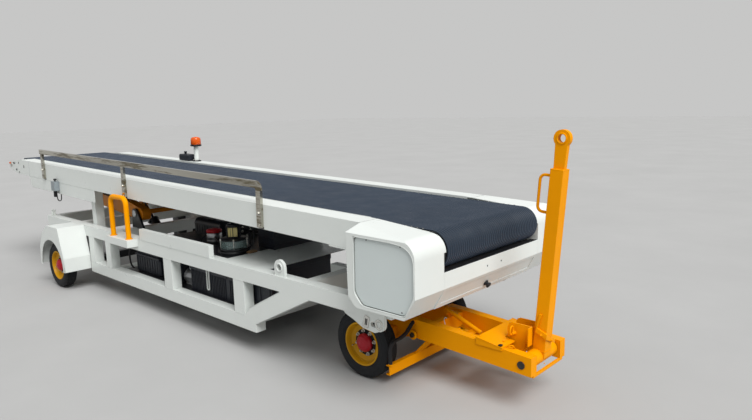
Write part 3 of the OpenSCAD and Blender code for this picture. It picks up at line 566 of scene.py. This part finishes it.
# ---------- chassis ----------
def chassis():
    # side frames: welds at posts, strut and cross members, end caps, lug collars
    s = sided(AXLE)
    f = -640.6  # outer face
    for x0, w in ((-3366, 110), (-3016, 97), (-1972, 120), (-1014, 120)):
        for x in (x0, x0 + w):
            for z in (UB, LT): s.weld((x, -561, z), (x, -640, z), 2.4)
        for z in (UB, LT): s.weld((x0, f, z), (x0 + w, f, z), 1.6)
    s.weld((-828, f, 334), (-500, f, UB), 1.6)
    s.weld((-2340, -642, UT), (-1295, -642, UT), 1.4)
    s.weld((-559, -629, 607), (-459, -629, 607), 3)
    for x in (-4366, -3700, -2940, -1190, -325, 92):
        for dx in (80, 0): s.weld((x + dx, -560, UT), (x + dx, -560, UB), 3)
    s.done('frame_welds', 'white', 'chassis')
    s = sided(AXLE)
    for x, z0, z1 in ((-4365.0, 510, 602), (-3364.5, 171, 261)): s.box(x - 2.4, x + 1, -636, -564, z0, z1, 1.5)
    s.done('rail_end_caps', 'rubber', 'chassis')
    s = sided(AXLE)
    for y, d in ((-628, -1), (-608, 1)):
        s.lathe([(31, 0), (31, 2.6), (27, 4.4), (21, 4.4), (20.4, 0)], toward((-509, y, 662), (0, d, 0)), 32, caps=False)
    s.tube([(-4290, -614, 607), (-4290, -614, 640), (-4287, -614, 662), (-4278, -614, 672)], 7, 8)
    s.done('lug_collars', 'white', 'chassis')
    # fenders: rolled edges and stiffening bead
    s = sided(AXLE)
    arch = [(-3960, 200), (-3935, 380), (-3850, 520), (-3720, 604), (-3453, 608), (-3371, 325), (-3371, 197)]
    s.tube([(x, -882.8, z) for x, z in arch], 3.0, 8, steps=1)
    s.tube([(-WB + 258 * cos(radians(a)), -883.2, TYRE_R + 258 * sin(radians(a))) for a in range(0, 181, 10)], 2.6, 8, steps=1)
    s.done('fender_edges', 'white', 'chassis')
    # handle feet and the boom rests' screws
    s = sided(AXLE)
    for x in (-2715, -2435):
        s.lathe([(30, 0), (30, 3), (25, 5.5), (21.5, 8)], T(x, -686, UT), 28)
    s.done('handle_collars', 'yellow', 'chassis')
    s = sided(AXLE)
    for x in (-3410, -3350):
        for y in (-560, -490): s.screw(T(x, y, 946), 7, 4)
    s.done('rest_screws', 'zinc', 'chassis')
    # ear plates: inset plate and collar; slots and hole drawn as dark marks of painted shade
    s = sided(AXLE)
    s.plate(rounded([(228, 449), (271, 443), (287, 509), (252, 521)], 6), -644.5, -640, 1.0)
    s.lathe([(30, 0), (30, 3), (26, 4.5), (18, 4.5), (17, 0)], outward(353, -640, 482), 32, caps=False)
    s.done('ear_inserts', 'stainless', 'chassis')
    # painted shade: dark marks stand for the slots and the hole
    s = sided(AXLE)
    for a in (253, 263): s.plate(rounded([(a - 4, 462), (a + 3, 461), (a + 9, 500), (a + 2, 501)], 3), -645.2, -644.4)
    s.lathe([(12.6, -4), (12.6, 0.6), (2, 0.7)], outward(315, -628, 474), 20)
    s.done('ear_slot_and_hole_shade', 'dark_bolt', 'chassis')
    # rear reflectors
    s = sided(AXLE)
    s.lathe([(30, 0), (30, 6), (27, 9), (5, 10)], toward((-4366, -470, 556), (-1, 0, 0)), 36)
    s.done('rear_reflectors', 'red_lens', 'chassis')
    s = sided(AXLE)
    s.lathe([(34, -0.2), (34, 4), (31, 6), (29.6, 6)], toward((-4366, -470, 556), (-1, 0, 0)), 36, caps=False)
    s.done('reflector_rings', 'rubber', 'chassis')
    # rear axle clamps and springs
    s = sided(AXLE)
    for x in (-WB - 24, -WB + 24):
        s.tube([(x, -500, 300), (x, -500, 186), (x, -486, 174), (x, -464, 174), (x, -450, 186), (x, -450, 300)], 6, 8)
    s.lathe([(46, 0), (46, 12), (42, 16), (32, 18)], outward(-WB, -700, TYRE_R), 36)
    s.done('axle_clamps', 'steel', 'chassis')
    s = sided(AXLE)
    for i in range(4): s.box(-WB - 190 + i * 24, -WB + 190 - i * 24, -505, -445, 252 + i * 9, 260 + i * 9, 2)
    s.done('axle_leaves', 'black', 'chassis')
    # lift brackets: pin caps and welds
    s = sided(AXLE)
    s.lathe([(34, 0), (34, 5), (31, 7), (22, 8)], outward(LIFT_X, -396, LIFT_Z), 32)
    for x in (-2935, -2770): s.weld((x, -396, UT), (x + 60, -396, UT), 3)
    s.done('lift_pin_caps', 'steel', 'chassis')
    s = Shape(AXLE)
    for a in turns(12, 0.5): s.hexbolt(T(*polar(160, a, 506.2)), 14, 8)
    s.done('turntable_bolts', 'zinc', 'chassis')
chassis()

# ---------- machinery ----------
def machinery():
    # filter set: disc, glass bowl, motor
    fx, fy = -1335, -395
    c = T(fx, fy, UT)
    s = Shape(AXLE)
    s.lathe([(118, -2), (120, 1), (120, 10), (114, 12), (114, 22), (119, 24), (119, 31), (114, 34), (100, 34)], c, 56)
    s.lathe([(106, 93), (106, 99), (98, 102), (60, 106), (54, 109)], c, 56)
    for a in turns(18): s.box(49, 55, -2.4, 2.4, 112, 196, 1, c @ RZ(a))
    s.lathe([(48, 106), (50, 110), (50, 198), (52, 200), (52, 206), (46, 211), (14, 214), (12, 222), (4, 223)], c, 40)
    s.done('filter_motor', 'black', 'chassis', 'filter_bowl')
    s = Shape(AXLE)
    s.lathe([(104, 34), (105, 38), (105, 90), (104, 94), (99.5, 94), (100, 88), (100, 40), (99.5, 34)], c, 56, caps=False)
    s.done('filter_glass_bowl', 'glass', 'chassis')
    s = Shape(AXLE)
    s.lathe([(62, 34), (64, 40), (64, 88), (60, 94)], c, 40)
    for a in turns(24): s.box(64, 68, -1.6, 1.6, 42, 86, 0.6, c @ RZ(a))
    s.done('filter_element', 'grey', 'chassis')
    s = Shape(AXLE)
    for a in turns(6, 0.4):
        foot = T(fx + 111 * cos(a), fy + 111 * sin(a), UT)
        s.rod(foot @ T(0, 0, 33), 3.4, 70, 8)
        s.hexbolt(foot @ T(0, 0, 100), 10, 7)
    s.hexbolt(T(fx, fy, UT + 222), 16, 8, False)
    s.done('filter_rods', 'zinc', 'chassis')
    s = Shape(AXLE)
    m = toward((fx + 0.75 * 44, fy - 0.66 * 44, UT + 154), (0.75, -0.66, 0))
    s.box(-34, 34, -34, 34, 4, 8, 1.5, m)
    s.done('motor_plate', 'cream', 'chassis')
    s = Shape(AXLE)
    for dy in (-28, 28):
        for dx in (-28, 28): s.screw(m @ T(dx, dy, 8), 2.6, 1.6)
    s.done('motor_plate_screws', 'dark_bolt', 'chassis')
    # canister
    s = Shape(AXLE)
    c = T(-1747, -300, UT)
    s.lathe([(56, -2), (60, 1), (60, 70), (58.5, 72), (58.5, 76), (60, 78), (58, 80)], c, 44)
    for z in (18, 46): s.lathe([(60, z - 4), (62, z - 3), (62, z + 3), (60, z + 4)], c, 44, caps=False)
    s.done('canister_body', 'steel', 'chassis')
    s = Shape(AXLE)
    s.lathe([(58, 79.6), (61, 82), (61, 98), (57, 104), (40, 108), (12, 109)], c, 44)
    for a in turns(20): s.box(60, 62.6, -3, 3, 83, 98, 1, c @ RZ(a))
    s.done('canister_lid', 'red', 'chassis')
    s = Shape(AXLE)
    s.tube([(-1790, -352, UT + 60), (-1812, -366, UT + 40), (-1822, -374, UT + 18), (-1815, -380, UT + 7),
            (-1790, -388, UT + 5), (-1740, -392, UT + 5)], 5, 8)
    s.tube([(-1700, -325, UT + 50), (-1640, -360, UT + 60), (-1560, -385, UT + 40), (-1470, -395, UT + 20)], 7, 8)
    s.tube([(-1300, -350, UT + 190), (-1262, -325, UT + 214), (-1225, -305, UT + 196), (-1214, -302, UT + 120),
            (-1224, -310, UT + 60), (-1250, -330, UT + 14), (-1280, -345, UT + 8)], 3.4, 8)
    s.tube([(-1305, -352, UT + 170), (-1256, -322, UT + 168), (-1238, -315, UT + 110), (-1246, -318, UT + 40),
            (-1258, -322, UT + 6)], 3.0, 8)
    s.tube([(-1800, -250, UT + 8), (-1840, -150, UT + 30), (-1842, -60, UT + 60), (-1826, 0, UT + 50)], 9, 10)
    s.tube([(-1820, 60, UT + 30), (-1700, 120, UT + 12), (-1500, 160, UT + 10), (-1330, 200, UT + 14), (-1322, 205, UT + 30)],
           11, 10)
    s.tube([(-2230, -60, UT + 20), (-2300, -120, UT - 10), (-2450, -160, UT - 60), (-2700, -80, UT - 160), (-2900, -30, 360),
            (-2965, -22, 320)], 11, 10)
    s.tube([(-2230, 60, UT + 20), (-2320, 40, UT - 20), (-2480, 60, UT - 80), (-2720, 40, UT - 190), (-2900, 30, 340),
            (-2965, 24, 300)], 11, 10)
    s.done('machinery_hoses', 'rubber', 'chassis')
    # power unit: seam, fins, handle, cap
    s = Shape(AXLE)
    for i in range(9):
        x = -2205 + i * 40
        for y in (-184, 219): s.box(x, x + 10, y, y + 5, UT + 12, 684, 1.5)
    s.box(-2238, -1847, -183, 223, 686, 692, 2)
    s.box(-2239, -2234, -150, 190, UT + 10, 680, 2)
    for y in (-60, 100): s.box(-2241, -2238, y - 50, y + 50, UT + 20, 672, 1.5)
    s.tube([(-2100, -60, 735), (-2100, -60, 762), (-2085, -60, 772), (-1985, -60, 772), (-1970, -60, 762), (-1970, -60, 735)],
           8, 10)
    s.lathe([(30, 0), (30, 12), (26, 16), (8, 18)], T(-1900, 120, 735), 28)
    s.rod(T(-2160, 90, 734), 24, 26, 28, 4)
    s.done('power_unit_details', 'moulded', 'chassis')
    s = Shape(AXLE)
    for y in (-60, 20, 100):
        for z in (628, 662): s.hexbolt(toward((-1820, y, z), (1, 0, 0)), 14, 8)
    for x in (-2225, -1862):
        for y in (-170, 210): s.hexbolt(T(x, y, 692), 12, 6)
    s.done('power_unit_bolts', 'zinc', 'chassis')
    # tall case and the case under the deck plate
    s = Shape(AXLE)
    s.box(-1326, -1120, -188, 305, 776, 806, 4)
    for z in (640, 690, 740): s.box(-1323.5, -1122.5, -185.5, 302.5, z - 3, z + 3, 1.2)
    for x in (-1329, -1126):
        for y in (-80, 60, 200): s.box(x, x + 9, y - 14, y + 14, 752, 790, 2)
    s.done('tall_case_lid', 'moulded', 'chassis')
    s = Shape(AXLE)
    s.box(-1240, -1182, -372, -296, UT - 2, UT + 10, 3)
    s.done('terminal_block', 'brown', 'chassis')
    s = Shape(AXLE)
    s.box(-1006, -702, -547, 4, 566, 599, 3)
    for x in (-960, -855, -750):
        s.box(x - 22, x + 22, -546.5, -541, 360, 555, 2)
    s.done('front_case_lid', 'moulded', 'chassis')
    # batteries: ribs, lids, straps, terminals
    s = Shape(AXLE)
    for x0, x1 in ((-1770, -1535), (-1485, -1270), (-1255, -1060)):
        s.box(x0 - 2, x1 + 2, -526, -198, 428, 452, 3)
        s.box(x0 + 4, x1 - 4, -518, -204, 452, 476, 6)
        for i in range(int((x1 - x0 - 20) / 21)):
            x = x0 + 16 + i * 21
            s.box(x, x + 9, -526, -519, 268, 424, 2)
        for k in range(3):
            s.lathe([(17, 0), (17, 8), (14, 11), (4, 11.5)], T(x0 + 50 + k * (x1 - x0 - 100) / 2, -430, 475), 20)
    s.box(-2286, -1984, -486, -196, 440, 476, 4)
    for i in range(5): s.box(-2270 + i * 58, -2236 + i * 58, -486, -479, 280, 420, 2)
    s.done('battery_details', 'moulded', 'chassis')
    s = Shape(AXLE)
    s.tube([(-1524, -530, 470), (-1524, -530, 330), (-1524, -530, 312), (-1510, -530, 304), (-1496, -530, 312),
            (-1496, -530, 330), (-1496, -530, 470)], 6.5, 8)
    s.box(-1530, -1490, -534, -200, 477, 483, 2)
    s.done('battery_strap', 'white', 'chassis')
    s = Shape(AXLE)
    for x in (-1745, -1560, -1460, -1295, -1235, -1085):
        s.rod(T(x, -490, 475), 9, 16, 16)
        s.rod(T(x, -490, 489), 12, 7, 16)
    s.done('battery_terminals', 'steel', 'chassis')
    s = Shape(AXLE)
    for lead in ([(-1745, -490, 500), (-1700, -500, 520), (-1640, -505, 512), (-1560, -490, 500)],
                 [(-1460, -490, 500), (-1400, -500, 522), (-1340, -500, 515), (-1295, -490, 500)],
                 [(-1295, -490, 500), (-1265, -500, 512), (-1235, -490, 500)],
                 [(-1085, -490, 500), (-1040, -470, 505), (-1020, -440, 500), (-1002, -420, 490)]):
        s.tube(lead, 6, 8)
    s.done('battery_leads', 'red', 'chassis')
    # ribbed case on the rear part of the lower floor, with its loop of hose
    s = Shape(AXLE)
    s.box(-2730, -2310, -500, -290, 252, 404, 14)
    s.box(-2738, -2302, -506, -284, 398, 414, 4)
    s.box(-2722, -2318, -494, -296, 412, 440, 12)
    for i in range(9):
        x = -2706 + i * 43
        s.box(x, x + 16, -505, -499, 272, 392, 2.5)
    for x in (-2660, -2390): s.lathe([(20, 0), (20, 7), (16, 11), (5, 12)], T(x, -395, 439), 22)
    s.done('rear_floor_case', 'moulded', 'chassis')
    s = Shape(AXLE)
    s.tube([(-2700, -470, 436), (-2716, -500, 452), (-2744, -526, 452), (-2768, -536, 420), (-2772, -536, 360),
            (-2768, -528, 300), (-2752, -512, 268)], 8, 10)
    s.done('rear_case_hose', 'rubber', 'chassis')
    # pump set
    s = Shape(AXLE)
    a = toward((-1985, -400, 312.3), (1, 0, 0))
    s.lathe([(60, -1), (64, 1), (64, 10), (60, 12)], a, 40, caps=False)
    s.lathe([(60, 168), (66, 170), (66, 179), (62, 181)], a, 40, caps=False)
    for q in turns(20): s.box(59, 64, -2, 2, 14, 166, 1, a @ RZ(q))
    s.box(-1930, -1850, -440, -360, 372, 420, 5)
    for x in (-1912, -1868): s.rod(T(x, -400, 418), 14, 26, 18)
    s.box(-1970, -1820, -455, -345, 253, 262, 3)
    s.box(-1828, -1796, -430, -372, 280, 345, 4)
    s.done('pump_details', 'steel', 'chassis')
    s = Shape(AXLE)
    for y in (-446, -354):
        for x in (-1962, -1830): s.hexbolt(T(x, y, 262), 12, 7)
    for y in (-418, -382):
        for x in (-1920, -1860): s.hexbolt(T(x, y, 420), 10, 6)
    s.done('pump_bolts', 'zinc', 'chassis')
    s = Shape(AXLE)
    s.tube([(-1912, -400, 440), (-1912, -404, 470), (-1930, -420, 492), (-1975, -440, 488), (-1990, -450, 450),
            (-1984, -452, 390), (-1982, -440, 350)], 8, 10)
    s.tube([(-1868, -400, 440), (-1868, -396, 480), (-1840, -380, 505), (-1810, -360, 520), (-1800, -340, 560),
            (-1800, -330, 596)], 8, 10)
    s.tube([(-2000, -482, 430), (-2010, -500, 470), (-2060, -505, 482), (-2090, -500, 440), (-2080, -492, 380)], 9, 10)
    s.tube([(-2286, -440, 330), (-2310, -440, 350), (-2318, -440, 385), (-2305, -440, 425), (-2284, -440, 440)], 9, 10)
    s.done('pump_hoses', 'rubber', 'chassis')
machinery()

# ---------- bogie and drawbar ----------
def drawbar():
    # pivot, and the welds of bogie and drawbar
    s = sided(AXLE)
    s.lathe([(30, 0), (30, 3), (28, 4.5), (16, 4.5)], outward(DRAW_X, -209.4, DRAW_Z), 32)
    s.done('pivot_collars', 'yellow', 'bogie')
    s = sided(AXLE)
    s.hexbolt(outward(DRAW_X, -213.6, DRAW_Z), 30, 10, False)
    s.done('pivot_bolts', 'dark_bolt', 'bogie')
    s = sided(AXLE)
    for z in (200, 440): s.weld((-40, -137, z), (60, -137, z), 2.5)
    s.weld((-40, -137, 300), (40, -137, 300), 3)
    s.lathe([(26, 0), (26, 8), (22, 12), (15.2, 14)], outward(0, -296, TYRE_R), 28)
    s.done('bogie_welds', 'yellow', 'bogie')
    s = sided(AXLE)
    s.weld((684, -199.8, 364.5), (856, -199.8, 340.5), 2.0)
    s.weld((1029, -137, 323), (1029, -137, 217), 2.5)
    for x in (640, 690): s.weld((x, -137, 330), (x, -137, 240), 3)
    for x in (318, 363): s.weld((x, -137, 352), (x, -137, 262), 3)
    for y in (-190, -100): s.weld((225, y, 141), (338, y, 245), 2)
    s.weld((803, -51, 320), (803, -51, 414), 2)
    s.weld((946, -43, 338), (951, -43, 438), 2)
    s.done('drawbar_welds', 'yellow', 'drawbar')
    s = sided(AXLE)
    s.lathe([(22.5, -1), (22.5, 0.6), (20, 1.2), (17.5, 0.2), (3, 0)], outward(TOW_X, -199.2, TOW_Z), 32)
    s.done('tow_pin_ends', 'dark_bolt', 'towbar')
    # latch handle, lifting ring, damper and small fittings
    s = Shape(AXLE)
    s.lathe([(18, 0), (20, 3), (20, 84), (17, 90), (9, 92), (9, 104), (6, 106)], toward((400, -90, 300), (0.9, 0.3, 0.1)), 28)
    s.tube([(470, -62, 300), (520, -30, 296), (560, 0, 292), (620, 30, 288)], 5, 8)
    s.tube([(846, -80, 383), (846, -92, 384), (846, -100, 392), (846, -100, 410), (846, -93, 424), (846, -80, 429),
            (846, -68, 422), (846, -64, 408), (846, -68, 392), (846, -76, 385)], 4.2, 8)
    s.lathe([(13, 0), (13, 5), (10, 7), (8.2, 7)], toward((846, -56, 383), (0, 1, 0)), 24)
    s.tube([(846, 58, 383), (846, 66, 383), (850, 74, 372), (858, 78, 352), (860, 80, 338)], 3.4, 8)
    s.tube([(900, -140, 330), (900, -152, 344), (895, -160, 352), (880, -166, 349), (868, -166, 344)], 4, 8)
    for z in (270, 296): s.rod(toward((1018, -24, z - 60), (0, 0, 1)), 3, 6, 10)
    s.done('latch_ring_and_damper', 'yellow', 'drawbar')
    s = Shape(AXLE)
    s.tube([(404, -96, 322), (398, -100, 350), (392, -98, 372), (396, -92, 384), (404, -90, 378)], 2.6, 8)
    s.done('white_wire', 'cable_white', 'drawbar')
    s = Shape(AXLE)
    s.box(828, 848, -196, -176, 346, 352, 1.5)
    s.done('drawbar_box', 'black', 'drawbar')
    s = Shape(AXLE)
    s.box(693, 703, -178, -160, 358, 366, 1.5)
    s.lathe([(7, 0), (7, 4), (5, 6), (2, 6.4)], toward((818, -120, 346), (0.14, 0, 1)), 16)
    s.hexbolt(outward(350, -10, 375), 12, 7)
    s.lathe([(15, 0), (15, 7), (12, 9), (10, 9)], outward(236, -195, 352), 20)
    s.lathe([(15, 0), (15, 7), (12.4, 9)], T(236, -421, 141), 20)
    s.done('drawbar_fittings', 'yellow', 'drawbar')
    # tow bar: welds at its foot, end and eye, and two small bolts
    s = Shape(TOW)
    for y in (-36, 36): s.weld((-22, y, 38), (48, y, 38), 3)
    for x in (-23, 49): s.weld((x, -36, 38), (x, 36, 38), 3)
    s.box(-23.6, 49.6, -36.6, 36.6, 1041, 1047, 1.5)
    for x in (-16, 42): s.weld((x, -16, 1048), (x, 16, 1048), 2.5)
    for y in (-16, 16): s.weld((-16, y, 1048), (42, y, 1048), 2.5)
    for d in (1, -1):
        s.lathe([(30, 14), (31, 16), (30, 18.4), (24, 19), (22.3, 18), (22.3, 14)], toward((13, 0, 1205), (0, d, 0)), 36,
                caps=False)
    s.hexbolt(outward(24, -48.2, 136), 10, 5)
    s.hexbolt(toward((57, 10, 100), (1, 0, 0)), 10, 5)
    s.done('tow_bar_welds', 'yellow', 'towbar')
drawbar()

# ---------- boom ----------
def boom():
    half = -BEAM_HALF
    s = sided(BOOM)
    # folded lips along the beam
    s.tube([(-BEAM_LEN + 4, half + 3.2, BEAM_TOP - 2.8), (-431, half + 3.2, BEAM_TOP - 2.8)], 3.2, 10, steps=1)
    s.box(-BEAM_LEN, -430, -480, -476.5, 92, 121, 1)
    s.weld((-BEAM_LEN + 2, half - 0.4, BEAM_Z0), (-BEAM_LEN + 1620, half - 0.4, BEAM_Z0), 1.0)
    s.tube([(-BEAM_LEN + 41, half + 2.5, BEAM_Z0 - 112), (-BEAM_LEN + 1619, half + 2.5, BEAM_Z0 - 112)], 2.6, 8, steps=1)
    s.done('beam_folds', 'white', 'boom')
    s = sided(BOOM)
    s.box(-BEAM_LEN - 1.2, -BEAM_LEN + 1.2, half - 0.5, half + 1.5, BEAM_Z0 + 3, BEAM_TOP - 4, 0.4)
    s.done('beam_seams', 'grey', 'boom')
    # guard rail bolts and foot pads
    s = Shape(BOOM)
    for x in RAIL_POSTS:
        s.hexbolt(outward(x, half - 20, 60), 17, 9)
        s.screw(outward(x, half - 20, -22), 6, 4)
    s.done('rail_bolts', 'zinc', 'boom')
    s = Shape(BOOM)
    for x in RAIL_POSTS: s.box(x - 26, x + 26, half - 2.4, half + 2, BEAM_Z0 + 2, BEAM_Z0 + 16, 1)
    s.done('rail_feet', 'dark_bolt', 'boom')
    # beacon
    bx, by = -3965, 570
    s = Shape(BOOM)
    s.lathe([(50, 278), (57, 280), (57, 292), (54, 296), (50, 297)], T(bx, by, 0), 44)
    s.lathe([(46, 118.2), (46, 124), (42, 128), (25, 130)], T(bx, by, 0), 36)
    s.done('beacon_base', 'rubber', 'boom')
    s = Shape(BOOM)
    steps = ((296, 50), (300, 53), (346, 52), (362, 48), (371, 38), (376, 18))
    s.loft([[polar(r - (1.6 if k % 2 else 0), pi * k / 36, z) for k in range(72)] for z, r in steps], T(bx, by, 0))
    s.done('beacon_lens', 'amber', 'boom', 'beacon_lamp')
    s = Shape(BOOM)
    for a in turns(4, 0.5): s.hexbolt(T(bx + 36 * cos(a), by + 36 * sin(a), 126), 10, 5)
    s.done('beacon_bolts', 'zinc', 'boom')
    # control box beside the beacon
    s = Shape(BOOM)
    s.box(-4206, -4010, 500, 600, 122, 182, 6)
    s.box(-4200, -4016, 506, 594, 180, 186, 3)
    for x in (-4180, -4036): s.box(x - 14, x + 14, 520, 580, 116, 124, 2)
    s.lathe([(12, 0), (12, 14), (16, 17), (16, 27), (13, 30)], T(-4150, 550, 185), 24)
    s.tube([(-4010, 560, 150), (-3998, 560, 148), (-3990, 564, 140), (-3988, 568, 128), (-3988, 570, 119)], 6, 8)
    s.done('control_box', 'moulded', 'boom')
    # switch boxes
    s = sided(BOOM)
    x0, x1, z0, z1 = -4671, -4589, -127, -33
    s.box(x0, x1, half - 52, half - 47, z0, z1, 2)
    for z in (z0 - 18, z0 - 8): s.lathe([(11, 0), (11, 8), (8, 10)], T(x0 + 24, half - 24, z), 18)
    s.done('switch_lids', 'grey', 'boom')
    s = sided(BOOM)
    for x in (x0 + 9, x1 - 9):
        for z in (z0 + 9, z1 - 9): s.screw(outward(x, half - 52, z), 4, 2)
    s.done('switch_screws', 'zinc', 'boom')
    s = sided(BOOM)
    s.lathe([(7, 0), (7, 10), (14, 12), (16, 16), (14, 24), (6, 27)], T(x0 + 40, half - 24, z1), 24)
    s.rod(T(x0 + 24, half - 24, z0 - 66), 17, 62, 20, 4)
    s.tube([(x1 - 22, half - 24, z0), (x1 - 22, half - 24, z0 - 50), (x1 - 20, half - 20, z0 - 88),
            (x1 - 16, half - 8, z0 - 104), (x1 - 14, half + 8, z0 - 96), (x1 - 14, half + 14, z0 - 60),
            (x1 - 14, half + 12, z0 - 26)], 5, 8)
    s.done('switch_knobs_and_glands', 'rubber', 'boom')
    # nose: bearing caps, holes drawn as dark marks of painted shade, and markers
    s = sided(BOOM)
    s.lathe([(26, 0), (26, 3), (23, 5), (10, 5), (9, 9), (4, 10)], outward(NOSE_X + 6, half, 44), 28)
    s.done('nose_bearing_caps', 'zinc', 'boom')
    # painted shade: dark discs and a dark slot stand for holes in the nose
    s = sided(BOOM)
    for x, z in ((-5717, 78), (-5714, -27)):
        s.lathe([(11, -1), (11, 0.7), (11 * 0.86, 1.0), (2, 1.0)], outward(x, half, z), 20)
    s.plate(rounded([(-5570, 30), (-5546, 30), (-5546, 62), (-5570, 62)], 11), half - 0.9, half + 1)
    s.box(-5800, -5776, half - 8, half, -8, 6, 2)
    s.box(-5890, -5830, half - 6, half, 60, 72, 2)
    s.done('nose_hole_shade', 'dark_bolt', 'boom')
    s = sided(BOOM)
    s.box(-6004, -5960, half - 9, half - 0.2, 50, 70, 3)
    s.done('nose_markers', 'amber', 'boom')
    # underside: cross rollers under the lower run
    s = Shape(BOOM)
    for x in ROLLERS: s.rod(toward((x, -470, -16), (0, 1, 0)), 22, 940, 28, 3)
    s.done('return_rollers', 'steel', 'boom')
    s = sided(BOOM)
    for x in ROLLERS: s.box(x - 30, x + 30, -480, -471, -40, 20, 2)
    s.done('roller_brackets', 'white', 'boom')
boom()

# ---------- lift frame and cylinder ----------
def lift():
    # painted shade: these details take the darker copy of the yellow
    s = sided(LIFT)
    for x in (-598, -1500): s.weld((x - 30, -290, 26), (x + 30, -290, 26), 4)
    s.lathe([(40, 0), (40, 6), (36, 9), (22, 9)], outward(0, -370, 0), 32)
    s.plate(rounded([(-1450, -20), (-1450, 40), (-900, 44), (-900, -38)], 16), -371.6, -369)
    s.done('lift_frame_details', 'arm', 'lift_arm')
    s = Shape(LIFT)
    for y in (-330, 330): s.rod(toward((-1500, y - 46, 20), (0, 1, 0)), 48, 92, 32, 4)
    s.done('lift_rollers', 'steel', 'lift_arm')
    C = AXLE @ T(CYL_X, 0, CYL_Z) @ RY(degrees(atan2(EYE_X - CYL_X, EYE_Z - CYL_Z)))
    s = Shape(C)
    s.lathe([(45, 410), (49, 412), (49, 430), (44, 432), (24, 432)], Matrix(), 36)
    s.lathe([(45, 42), (48, 44), (48, 58), (45, 60)], Matrix(), 36, caps=False)
    for z in (386, 66): s.box(-14, 14, -62, -42, z, z + 24, 3)
    s.done('cylinder_glands', 'black', 'lift_barrel_body')
    s = Shape(C)
    for z in (76, 398): s.hexbolt(outward(0, -62, z), 17, 12, False)
    s.done('cylinder_ports', 'zinc', 'lift_barrel_body')
lift()

# ---------- floor, sky and light ----------
def stage():
    me = bpy.data.meshes.new('floor')
    size = 60  # half its width, in metres
    me.from_pydata([(-size, -size, 0), (size, -size, 0), (size, size, 0), (-size, size, 0)], [], [(0, 1, 2, 3)])
    me.update()
    o = bpy.data.objects.new('floor', me)
    scene.collection.objects.link(o)
    m = material('floor_plain', (0.44, 0.44, 0.435), 0.9, var=0.035, vscale=0.7, peel=0.02, pscale=40.0, spec=0.1)
    me.materials.append(m)
    w = bpy.data.worlds.new('world')
    scene.world = w
    w.use_nodes = True
    nt = w.node_tree
    bg = nt.nodes['Background']
    tc = nt.nodes.new('ShaderNodeTexCoord')
    sep = nt.nodes.new('ShaderNodeSeparateXYZ')
    link(nt, tc.outputs['Generated'], sep.inputs[0])
    sky = mix_col(nt, ramp_range(nt, sep.outputs['Z'], -0.02, 0.45, 0.0, 1.0), (0.36, 0.38, 0.38), (1.0, 1.0, 1.0))
    lp = nt.nodes.new('ShaderNodeLightPath')
    seen = lp.outputs['Is Camera Ray']
    for ray in ('Is Glossy Ray', 'Is Transmission Ray'): seen = combine(nt, 'MAXIMUM', seen, lp.outputs[ray])
    link(nt, mix_col(nt, seen, sky, (0.57, 0.57, 0.565)), bg.inputs['Color'])
    link(nt, ramp_range(nt, seen, 0.0, 1.0, 0.53, 1.0), bg.inputs['Strength'])
    sun = bpy.data.lights.new('key', 'SUN')
    sun.energy, sun.angle = 3.05, radians(35)
    key_light = bpy.data.objects.new('key', sun)
    key_light.rotation_euler = Vector((0.62, -0.22, 0.80)).to_track_quat('Z', 'Y').to_euler()
    scene.collection.objects.link(key_light)
stage()
